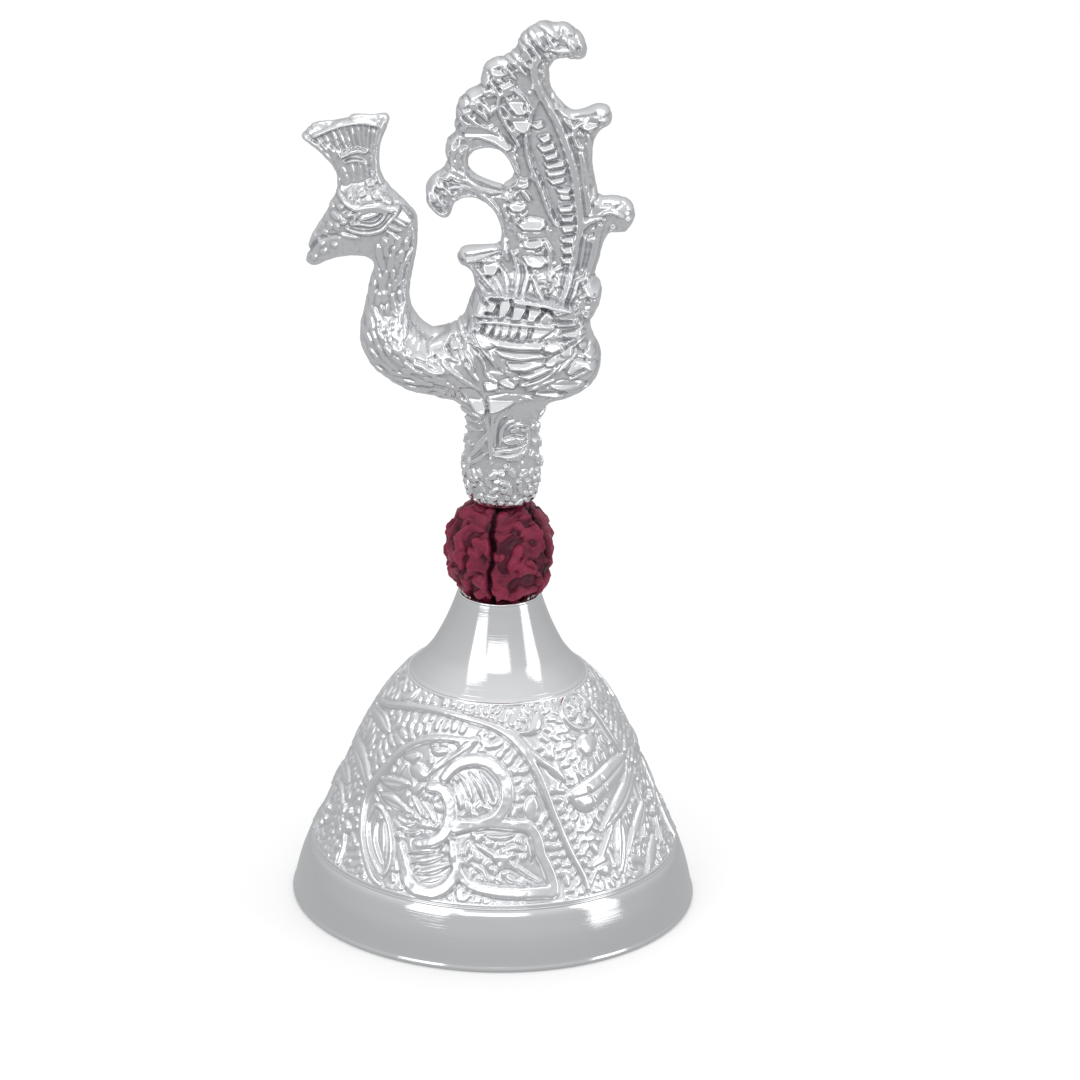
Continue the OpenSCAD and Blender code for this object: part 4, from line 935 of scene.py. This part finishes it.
double(TAIL["curl_band"], 0.95, 0.6, cut=0.2, depth=0.22)
strokes(TAIL["curl_rim"], 0.5, 0.5, taper=0.3)
strokes([(-11.2, 108.6), (-10.6, 107.2), (-9.4, 106.4), (-8.4, 106.9)], 0.4, 0.5)
strokes([[(-10.2, 109.6), (-9.5, 108.3), (-8.7, 108.0)], [(-9.3, 110.8), (-8.4, 109.8), (-7.8, 109.4)],
         [(-10.6, 111.2), (-9.8, 110.6), (-9.2, 110.5)]], 0.34, 0.42)
for (x, z), (la, lb, an, a) in zip(TAIL["blobs"], [(1.6, 0.75, -0.2, 0.7), (1.0, 0.75, 0.1, 0.75), (1.9, 0.85, 0.1, 0.8),
                                                  (1.7, 0.55, 0.15, 0.6), (1.5, 0.8, -0.2, 0.7),
                                                  (1.2, 1.2, 0, 0.6), (1.1, 0.9, 0.6, 0.6), (0.9, 0.5, 0.8, 0.5),
                                                  (1.0, 0.5, 1.2, 0.45), (1.3, 0.4, -0.9, 0.45)]):
    HS.bump(REL, (x, z), la, lb, an, a, tilt=0.35)
strokes(TAIL["knob_r"], 0.52, 0.5)
strokes(TAIL["spur"], 0.42, 0.5, taper=0.4)
strokes([[(9.9, 128.0 - 8), (9.2, 118.4), (10.0, 116.6)], [(11.3, 118.6), (11.6, 116.6), (11.5, 114.8)],
         [(12.6, 100.4), (12.0, 98.6)], [(11.2, 103.4), (10.9, 101.0), (10.6, 98.6)],
         [(10.3, 96.9), (9.9, 95.4), (9.3, 94.2)], [(6.8, 96.4), (6.2, 95.2)], [(12.6, 107.8), (12.3, 110.2)],
         [(2.0, 106.6), (2.6, 104.8)], [(0.4, 109.4), (0.9, 106.4), (1.2, 103.6)]], 0.33, 0.42)
r4 = np.random.default_rng(31)
for _ in range(360):                                       # nuggets between the strokes
    x, z = r4.uniform(-11, 18), r4.uniform(94, 134)
    if float(HS.sample(d_tail, np.array(x), np.array(z))) < 0.5 or float(HS.sample(lane, np.array(x), np.array(z))) > 0.2:
        continue
    HS.bump(REL, (x, z), r4.uniform(0.3, 0.75), r4.uniform(0.22, 0.36), r4.uniform(0, 3.1), r4.uniform(0.15, 0.38))

# wing and body ------------------------------------------------------
d_wing = HS.poly(smooth(WING, 4), 3)
SUNK += 0.5 * step(-0.15, 0.6, d_wing)
top, sep, bot = BODY["row1_top"], BODY["sep"], BODY["row2_bot"]
at = lambda P, x: float(np.interp(x, [p[0] for p in P], [p[1] for p in P]))
strokes(top, 0.36, 0.42, taper=0.1)
strokes(sep, 0.38, 0.5, taper=0.1)
strokes(BODY["long"], 0.3, 0.4, taper=0.45)
strokes(BODY["fan"], 0.34, 0.42, taper=0.5)
strokes(BODY["belly"], 0.34, 0.36, taper=0.6)
strokes(BODY["shoulder"], 0.34, 0.42, taper=0.5)
strokes([[(-9.9, 87.2), (-8.6, 85.0), (-7.4, 83.8)], [(-11.6, 84.4), (-10.2, 83.8), (-8.8, 83.8)],
         [(6.4, 79.4), (8.6, 80.2), (10.8, 80.6)], [(9.0, 81.0), (11.0, 81.2), (12.6, 81.4)],
         [(-6.2, 79.2), (-3.8, 78.4), (-1.2, 78.2)], [(12.0, 86.0), (13.2, 85.9)], [(11.2, 92.4), (12.2, 92.0)]], 0.42, 0.45)

# neck and breast scales: rows of short feathers following the curve ----
NL = smooth([(-16.6, 102.5), (-16.8, 98.5), (-16.9, 95), (-16.9, 91), (-16.6, 87.8), (-15.2, 85.0), (-11.8, 83.4),
             (-7, 82.6), (-3, 81.8)], 8, closed=False)
L = np.r_[0, np.cumsum(np.hypot(*np.diff(NL, axis=0).T))]
r5 = np.random.default_rng(5)
k = 0
s0 = 0.0
while s0 < L[-1]:
    c = np.array([np.interp(s0, L, NL[:, 0]), np.interp(s0, L, NL[:, 1])])
    q = np.array([np.interp(s0 + 0.3, L, NL[:, 0]), np.interp(s0 + 0.3, L, NL[:, 1])]) - c
    q /= np.hypot(*q) + 1e-9
    m = np.array([q[1], -q[0]])
    for o in np.arange(-6.4, 6.5, 1.06):
        o2 = o + 0.53 * (k % 2) + r5.uniform(-0.2, 0.2)
        p = c + m * o2 + q * r5.uniform(-0.5, 0.5)
        din = max(float(HS.sample(d_neck, p[0], p[1])), float(HS.sample(d_body, p[0], p[1])))
        if din < 0.3 or p[0] > -7.5 or p[1] > 103 or (p[0] < -18.6 and p[1] > 97.2) or float(HS.sample(d_wing, p[0], p[1])) > -0.4:
            continue
        if math.hypot(p[0] + 12.4, p[1] - 87.6) < 1.7 or (p[0] > -13.5 and p[1] > 86.2):
            continue
        ang = math.atan2(q[1], q[0]) + 0.28 * math.tanh(o2 / 3) + r5.uniform(-0.24, 0.24)
        HS.bump(REL, p, 1.15 * r5.uniform(0.7, 1.35), 0.42 * r5.uniform(0.7, 1.2), ang, 0.32 * r5.uniform(0.6, 1.25))
    s0 += 1.75
    k += 1
strokes([[(-13.6, 100.6), (-13.9, 97.8), (-14.4, 94.6), (-14.2, 91.8)], [(-13.4, 104.0), (-13.3, 101.4), (-13.6, 98.8)],
         [(-19.9, 88.0), (-19.6, 91.2), (-19.3, 94.4)]], 0.3, 0.35)

# head ---------------------------------------------------------------
strokes(HEAD["brow"], 0.55, 0.6, taper=0.4)
strokes(HEAD["eye_up"], 0.3, 0.55, taper=0.2)
strokes(HEAD["eye_lo"], 0.28, 0.5, taper=0.2)
strokes(HEAD["eye_ball"], 0.5, 0.55, taper=0.5)
strokes(HEAD["lid"], 0.42, 0.55, taper=0.3)
strokes(HEAD["beak_u"], 0.35, 0.42, taper=0.4)
strokes(HEAD["cheek"], 0.3, 0.35, taper=0.4)
strokes(HEAD["tufts"], 0.36, 0.45, taper=0.4)
HS.groove(REL, smooth(HEAD["mouth"], 4, closed=False), 0.26, 0.55, taper=0.2)
for x, z, a, b, an in [(-24.6, 105.9, 0.75, 0.5, -0.5), (-25.4, 104.3, 0.6, 0.45, 1.2), (-26.1, 103.2, 0.5, 0.4, 0.8),
                       (-24.4, 104.4, 0.45, 0.6, 0), (-23.4, 105.2, 0.5, 0.35, 0.4), (-25.2, 107.0, 0.45, 0.35, 1.0),
                       (-23.9, 107.3, 0.6, 0.4, 0.2), (-22.6, 106.4, 0.6, 0.35, 0.5), (-26.6, 101.4, 0.45, 0.3, 0.6),
                       (-27.6, 99.2, 0.5, 0.35, 0.9), (-26.2, 100.4, 0.6, 0.4, 0.3), (-24.7, 101.6, 0.5, 0.35, 0.2),
                       (-18.6, 109.2, 0.9, 0.6, -0.3), (-20.8, 109.4, 0.7, 0.5, 0.3), (-22.6, 109.2, 0.6, 0.4, 1.2),
                       (-17.2, 108.4, 0.9, 0.45, -0.6), (-19.6, 110.6, 0.8, 0.4, 0.2), (-21.4, 108.4, 0.5, 0.35, 0.1)]:
    HS.bump(REL, (x, z), a, b, an, 0.42)

# crest ----------------------------------------------------------------
fan = HS.poly(smooth([(-27.6, 117.4), (-24.0, 114.9), (-20.0, 115.2), (-18.9, 119.0), (-22.0, 119.4)], 2), 3)
SUNK -= 0.22 * step(-0.1, 0.4, fan)
strokes(HEAD["rim_l"], 0.55, 0.45, taper=0.1)
strokes(HEAD["rim_r"], 0.55, 0.45, taper=0.1)
strokes(HEAD["top"], 0.45, 0.5, taper=0.1)
strokes(HEAD["bar_top"], 0.42, 0.5, taper=0.2)
strokes(HEAD["bar_mid"], 0.4, 0.55, taper=0.3)
strokes(HEAD["bar_mid2"], 0.3, 0.45, taper=0.3)
for k, P in enumerate(HEAD["ribs"]):
    strokes(P, 0.27 - 0.05 * (k % 2), 0.2 + 0.1 * (k % 3 == 0), taper=0.5)

# bright flat patches: the barbs of the wing, the bars of the tail, petals and knobs
FLAT = HS.zeros()
for tilt, P in FACETS:
    HS.facet(REL, P, tilt)
    HS.facet(FLAT, P, 0, a=1.0, cut=0)

edge = np.maximum(np.maximum(d_tail, d_body), np.maximum(d_neck, d_crest))
REL *= 0.3 + 0.7 * step(-0.3, 1.1, edge)          # strokes die away at the rounded edges
REL += SUNK
REL += (0.055 * HS.noise(0.7, 5) + 0.045 * HS.noise(0.35, 6)) * (1 - 0.85 * FLAT) + 0.04 * HS.noise(2.0, 8)
wide = blur(REL, 8)
near = blur(REL, 3)
CAV = np.clip(0.4 * (wide - REL) / 0.36 + 0.7 * (near - REL) / 0.14, 0, 1)
REL = blur(REL, 1)

# the foot, drawn round its cylinder: x is the way round, z the height ------------
FS = Sheet(-18.4, 18.4, 61, 81, 0.1)
FREL = FS.zeros()
FOOT = {
    "stem": [(-2.4, 80.5), (-2.4, 77.7), (-2.3, 75.4), (-2.0, 72.7), (-1.7, 69.4)],
    "stem2": [(-1.4, 77.0), (-1.6, 75.1), (-1.7, 73.2), (-1.6, 70.4)],
    "outer": [(-1.4, 76.5), (-1.0, 78.0), (0.0, 78.9), (1.5, 79.4), (3.4, 78.9), (6.1, 77.5)],
    "inner": [(-1.2, 72.3), (-1.1, 74.9), (-0.5, 77.0), (0.6, 78.1), (2.2, 78.4), (4.0, 77.8), (5.5, 76.4)],
    "eyeL": [(-0.4, 72.6), (-0.2, 74.5), (0.5, 75.9), (1.5, 76.4)],
    "eyeTop": [(0.7, 74.9), (1.3, 75.6), (2.5, 75.6), (4.2, 75.2)],
    "eyeR": [(4.3, 75.1), (4.6, 73.5), (4.2, 72.1), (3.6, 70.8)],
    "low": [(-1.3, 71.5), (0.5, 71.7), (2.3, 71.9), (4.0, 72.4)],
}
VE = [[(-8.9, 77.9), (-5.6, 77.9), (-3.1, 77.5)], [(-8.9, 76.4), (-5.2, 76.8), (-3.2, 76.6)],
      [(-8.9, 74.9), (-5.5, 75.5), (-3.4, 75.5)], [(-8.9, 73.5), (-5.5, 74.1), (-3.6, 74.4)],
      [(-4.8, 71.5), (-3.3, 73.1), (-2.3, 74.5)], [(-6.2, 69.4), (-4.1, 71.5), (-2.5, 73.3)],
      [(-7.6, 71.6), (-5.4, 71.7)], [(-5.7, 68.9), (-4.3, 69.6), (-3.2, 70.5), (-2.2, 71.4)]]
C = math.pi * 5.7
far = FS.zeros()
for side in (0, 1):                        # the same leaves again behind
    for sh in ((0,) if side == 0 else (-C, C)):
        mv = lambda P: [(x + sh, z) for x, z in P]
        for k, w in (("stem", 0.42), ("stem2", 0.34), ("outer", 0.5), ("inner", 0.36), ("eyeL", 0.4),
                     ("eyeTop", 0.36), ("eyeR", 0.4), ("low", 0.4)):
            FS.ridge(FREL, smooth(mv(FOOT[k]), 4, closed=False), w, 0.5, taper=0.4)
        for P in VE:
            FS.ridge(FREL, smooth(mv(P), 4, closed=False), 0.42, 0.45, taper=0.5)
        band_d = FS.poly(smooth(mv([(-1.3, 71.2), (0.5, 71.2), (2.3, 71.5), (4.0, 71.9), (3.6, 70.8), (2.6, 70.1),
                                    (1.2, 70.0), (-0.1, 70.5), (-1.3, 70.7)]), 3), 2)
        FREL = np.maximum(FREL, 0.62 * np.sqrt(np.clip(band_d / 0.45, 0, 1)))
        eye_d = FS.poly(smooth(mv([(-0.1, 73.2), (0.9, 73.8), (2.3, 73.9), (3.9, 73.2), (2.6, 72.6), (0.9, 72.5)]), 3), 2)
        FREL = np.maximum(FREL, 0.55 * np.sqrt(np.clip(eye_d / 0.45, 0, 1)))
        FS.bump(FREL, (1.9 + sh, 74.8), 0.9, 0.45, 0.2, 0.5)
        FS.bump(FREL, (3.6 + sh, 74.5), 0.6, 0.35, -0.4, 0.45)
        for x, z, a, b, an in [(5.4, 70.6, 0.7, 0.45, 1.1), (6.3, 72.2, 0.6, 0.4, 0.9), (6.8, 69.6, 0.7, 0.4, 1.3),
                               (5.6, 74.6, 0.6, 0.4, 1.4), (7.4, 74.0, 0.9, 0.4, 1.3), (7.2, 76.4, 0.8, 0.4, 0.9),
                               (8.4, 71.4, 0.8, 0.4, 1.5), (8.6, 68.6, 0.7, 0.45, 1.2)]:
            FS.bump(FREL, (x + sh, z), a, b, an, 0.5)
r6 = np.random.default_rng(17)
for j in range(6):                          # nuggets round the base
    for i in range(22):
        x = -C + (i + 0.5 * (j % 2)) * 2 * C / 22 + r6.uniform(-0.4, 0.4)
        z = 63.1 + j * 1.22 + r6.uniform(-0.3, 0.3)
        if z > 68.9 + 0.4 * math.sin(x):
            continue
        FS.bump(FREL, (x, z), r6.uniform(0.5, 1.0), r6.uniform(0.36, 0.6), r6.uniform(0, 3.1),
                r6.uniform(0.25, 0.5), tilt=r6.uniform(-0.1, 0.45))
FREL += 0.05 * FS.noise(0.7, 15) + 0.04 * FS.noise(0.35, 16)
FCAV = np.clip((blur(FREL, 7) - FREL) / 0.34, 0, 1)
FOOT_P = run([(4.6, 62.3), (4.85, 62.9), (5.2, 63.9), (5.42, 65.2), (5.66, 66.5), (5.75, 67.7), (5.66, 69.0),
              (5.55, 70.2), (5.42, 71.4), (5.32, 73.0), (5.28, 74.0), (5.45, 75.2), (5.95, 76.4), (6.6, 77.6),
              (6.9, 79.4), (6.9, 84.5)], 0.05)


def pillow(A, T, y, s):
    return (np.sqrt(A * A + (y / T) ** 2) - 1) * s


def smin(a, b, k):
    h = np.clip(0.5 + 0.5 * (b - a) / k, 0, 1)
    return b + (a - b) * h - k * h * (1 - h)


LAYERS = [(np.maximum(0, 1 - d_body / 6.6), t_body, 6.6), (np.maximum(0, 1 - d_neck / 3.3), t_neck, 3.3),
          (np.maximum(0, 1 - d_tail / 1.7), t_tail, 1.7), (np.maximum(0, 1 - d_crest / 1.0), 1.5 + 0 * d_crest, 1.0)]


def shape(L, y, x, z, fr, rel, foot_rel):
    """Roughly the distance to the casting, below zero inside."""
    F = pillow(L[0][0], L[0][1], y, L[0][2])
    F = smin(F, pillow(L[1][0], L[1][1], y, L[1][2]), 1.6)
    F = smin(F, pillow(L[2][0], L[2][1], y, L[2][2]), 0.9)
    F = smin(F, pillow(L[3][0], L[3][1], y, L[3][2]), 0.7)
    rr = np.hypot(x, y)
    stem = np.maximum(rr - fr, z - 84.0)
    F = np.where(z < 75.0, 9.0, F)
    F = smin(F, stem, 1.0)
    k = step(76.3, 78.3, z)
    F = F - (rel * k + foot_rel * (1 - k)) * step(62.5, 63.1, z) + 0.22
    F = np.maximum(F, 62.44 - z)
    return np.maximum(F, np.minimum(2.1 - rr, 71.3 - z))


def field(p):
    x, y, z = p[:, 0], np.abs(p[:, 1]), p[:, 2]
    L = [(HS.sample(A, x, z), HS.sample(T, x, z), s) for A, T, s in LAYERS]
    a = np.arctan2(x, -p[:, 1]) * 5.7
    return shape(L, y, x, z, np.interp(z, FOOT_P[:, 1], FOOT_P[:, 0]), HS.sample(REL, x, z), FS.sample(FREL, a, z))


def surface(x0, x1, y1, z0, z1, h):
    """Surface of the field as quads (one point per boundary cell, then pulled onto it)."""
    gx, gz = np.arange(x0, x1 + h, h), np.arange(z0, z1 + h, h)
    gy = np.arange(-y1, y1 + h, h)
    XX, ZZ = np.meshgrid(gx, gz, indexing="ij")
    L = [(HS.sample(A, XX, ZZ), HS.sample(T, XX, ZZ), s) for A, T, s in LAYERS]
    rel = HS.sample(REL, XX, ZZ)
    fr = np.interp(ZZ, FOOT_P[:, 1], FOOT_P[:, 0])
    F = np.empty((len(gy), len(gx), len(gz)), np.float32)
    for k, y in enumerate(gy):
        a = np.arctan2(XX, -y) * 5.7
        F[k] = shape(L, abs(y), XX, ZZ, fr, rel, FS.sample(FREL, a, ZZ))
    S = F < 0
    n = np.zeros(tuple(d - 1 for d in S.shape), np.uint8)
    for a in (0, 1):
        for b in (0, 1):
            for c in (0, 1):
                n += S[a:S.shape[0] - 1 + a, b:S.shape[1] - 1 + b, c:S.shape[2] - 1 + c]
    cells = np.argwhere((n > 0) & (n < 8))
    ids = np.full(n.shape, -1, np.int32)
    ids[tuple(cells.T)] = np.arange(len(cells))
    base = cells.astype(np.float64)
    acc, cnt = np.zeros((len(cells), 3)), np.zeros(len(cells))
    for ax in range(3):
        for u in (0, 1):
            for v in (0, 1):
                o = np.zeros(3, int)
                o[(ax + 1) % 3], o[(ax + 2) % 3] = u, v
                e = o.copy(); e[ax] = 1
                f0 = F[tuple((cells + o).T)]
                f1 = F[tuple((cells + e).T)]
                hit = (f0 < 0) != (f1 < 0)
                t = np.where(hit, f0 / np.where(hit, f0 - f1, 1), 0)
                q = base + o
                q[:, ax] += t
                acc += q * hit[:, None]
                cnt += hit
    V = acc / cnt[:, None]
    faces = []
    for ax in range(3):
        sl0 = [slice(None)] * 3; sl1 = [slice(None)] * 3
        sl0[ax], sl1[ax] = slice(0, -1), slice(1, None)
        c = np.argwhere(S[tuple(sl0)] != S[tuple(sl1)])
        inner = S[tuple(sl0)][tuple(c.T)]
        b1, b2 = (ax + 1) % 3, (ax + 2) % 3
        ok = (c[:, b1] > 0) & (c[:, b2] > 0) & (c[:, b1] < n.shape[b1]) & (c[:, b2] < n.shape[b2])
        c, inner = c[ok], inner[ok]
        q = []
        for u, v in ((1, 1), (0, 1), (0, 0), (1, 0)):
            w = c.copy(); w[:, b1] -= u; w[:, b2] -= v
            q.append(ids[tuple(w.T)])
        q = np.stack(q, -1)
        q[~inner] = q[~inner][:, ::-1]
        faces.append(q)
    P = np.stack([gx[0] + V[:, 1] * h, gy[0] + V[:, 0] * h, gz[0] + V[:, 2] * h], -1)
    return P, np.concatenate(faces)[:, ::-1]


def gradient(p, e):
    g = np.empty_like(p)
    for k in range(3):
        d = np.zeros(3); d[k] = e
        g[:, k] = (field(p + d) - field(p - d)) / (2 * e)
    return g


HP, HF = surface(-30.4, 19.4, 8.3, 61.4, 135.6, G)
for _ in range(2):
    g = gradient(HP, 0.08)
    f = field(HP)
    move = -g * (f / np.maximum((g * g).sum(1), 0.15))[:, None]
    m = np.linalg.norm(move, axis=1, keepdims=True)
    HP = HP + move * np.minimum(1, 0.6 * G / np.maximum(m, 1e-9))
HN = unit(gradient(HP, 0.10))
HP[:, 0] = np.clip(HP[:, 0], -29.58, 18.43)
HP[:, 1] = np.clip(HP[:, 1], -7.85, 7.85)
HP[:, 2] = np.clip(HP[:, 2], 62.42, 134.98)
k = step(76.3, 78.3, HP[:, 2])
HC = HS.sample(CAV, HP[:, 0], HP[:, 2]) * k + FS.sample(FCAV, np.arctan2(HP[:, 0], -HP[:, 1]) * 5.7, HP[:, 2]) * (1 - k)
cen = HP[HF].mean(1)
# is a quad turned the wrong way? make all of them face out along their normals
fn = np.cross(HP[HF[:, 1]] - HP[HF[:, 0]], HP[HF[:, 2]] - HP[HF[:, 0]])
if (fn * HN[HF[:, 0]]).sum() < 0:
    HF = HF[:, ::-1]
part = np.where(cen[:, 2] < 77, 0, np.where((cen[:, 0] < -12) & (cen[:, 2] > 90), 1, np.where(cen[:, 2] < 96.5, 2, 3)))
part = np.where((part == 3) & (cen[:, 2] > 115), 4, part)
for i, nm in enumerate(("foot", "neck_and_head", "body", "tail_low", "tail_high")):
    q = HF[part == i]
    u, inv = np.unique(q, return_inverse=True)
    make("peacock_" + nm, HP[u], inv.reshape(q.shape), HN[u], {"cav": HC[u]}, "bell", ["peacock_handle"],
         "cast_silver", M_CAST)


# ---------------------------------------------------------------- camera, floor and light
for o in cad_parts.values():
    if not o.hide_render:
        o.data.materials.clear()
        o.data.materials.append(M_STEEL)

PITCH, ROLL, PAN = 0.36908, math.radians(1.216), math.atan(39.6 / 5757)
right = Vector((1, 0, 0))
fwd = Vector((0, math.cos(PITCH), -math.sin(PITCH)))
up = right.cross(fwd)
right, up = (math.cos(ROLL) * right + math.sin(ROLL) * up, math.cos(ROLL) * up - math.sin(ROLL) * right)
fwd = (fwd + math.tan(PAN) * right).normalized()
right = fwd.cross(up).normalized()
up = right.cross(fwd)
cam = bpy.data.cameras.new("camera")
cam.sensor_width = 36
cam.lens = 36 * 5757 / 1080
cam.clip_start, cam.clip_end = 0.05, 20
co = bpy.data.objects.new("camera", cam)
co.matrix_world = Matrix(((right.x, up.x, -fwd.x, 0), (right.y, up.y, -fwd.y, -0.787),
                          (right.z, up.z, -fwd.z, 0.3602), (0, 0, 0, 1)))
bpy.context.scene.collection.objects.link(co)
bpy.context.scene.camera = co

bpy.ops.mesh.primitive_plane_add(size=6, location=(0, 0, -0.0001))
floor = bpy.context.object
floor.name = "floor"
mf = bpy.data.materials.new("pale_floor")
tf, bf = nodes_of(mf)
bf.inputs["Base Color"].default_value = (0.9, 0.9, 0.9, 1)
bf.inputs["Roughness"].default_value = 0.9
bf.inputs["Specular IOR Level"].default_value = 0.1
floor.data.materials.append(mf)
floor.visible_glossy = False             # the metal mirrors the grey room instead


def softbox(name, loc, target, w, h, power):
    l = bpy.data.lights.new(name, "AREA")
    l.shape, l.size, l.size_y, l.energy = "RECTANGLE", w, h, power
    ob = bpy.data.objects.new(name, l)
    ob.location = loc
    ob.rotation_mode = "QUATERNION"
    ob.rotation_quaternion = (Vector(target) - Vector(loc)).to_track_quat("-Z", "Y")
    bpy.context.scene.collection.objects.link(ob)
    return ob


softbox("key", (-0.50, -0.60, 0.55), (0, 0, 0.07), 0.40, 0.60, 1.0)
softbox("front", (0.0, -0.86, 0.66), (0, 0, 0.07), 0.70, 0.32, 0.75)
softbox("fill", (0.75, -0.30, 0.40), (0, 0, 0.07), 0.30, 0.60, 0.7)
softbox("top", (0.05, 0.25, 0.90), (0, 0, 0.08), 0.60, 0.45, 1.2)

# a plain white dome for the soft light, and for the metal to mirror a grey room that gets lighter towards the ceiling
world = bpy.data.worlds.new("studio")
bpy.context.scene.world = world
world.use_nodes = True
wt = world.node_tree
wt.nodes.clear()
wo = wt.nodes.new("ShaderNodeOutputWorld")
bg = wt.nodes.new("ShaderNodeBackground")
tc = wt.nodes.new("ShaderNodeTexCoord")
sp = wt.nodes.new("ShaderNodeSeparateXYZ")
wt.links.new(tc.outputs["Generated"], sp.inputs[0])
height = add(wt, "ShaderNodeMath", _operation="MULTIPLY_ADD", i1=0.5, i2=0.5)
wt.links.new(sp.outputs[2], height.inputs[0])
room = ramp(wt, height.outputs[0], [(0.0, (0.48, 0.485, 0.495)), (0.45, (0.48, 0.485, 0.495)),
                                    (0.70, (0.60, 0.61, 0.62)), (1.0, (0.85, 0.86, 0.87))])
lp = wt.nodes.new("ShaderNodeLightPath")
soft = add(wt, "ShaderNodeMath", _operation="MAXIMUM")
wt.links.new(lp.outputs["Is Camera Ray"], soft.inputs[0])
wt.links.new(lp.outputs["Is Diffuse Ray"], soft.inputs[1])
pick = add(wt, "ShaderNodeMix", _data_type="RGBA", _blend_type="MIX")
wt.links.new(soft.outputs[0], pick.inputs[0])
wt.links.new(room.outputs[0], pick.inputs[6])
pick.inputs[7].default_value = (1, 1, 1, 1)
wt.links.new(pick.outputs[2], bg.inputs[0])
bg.inputs[1].default_value = 1.0
wt.links.new(bg.outputs[0], wo.inputs[0])
bpy.context.scene.view_settings.view_transform = "Standard"
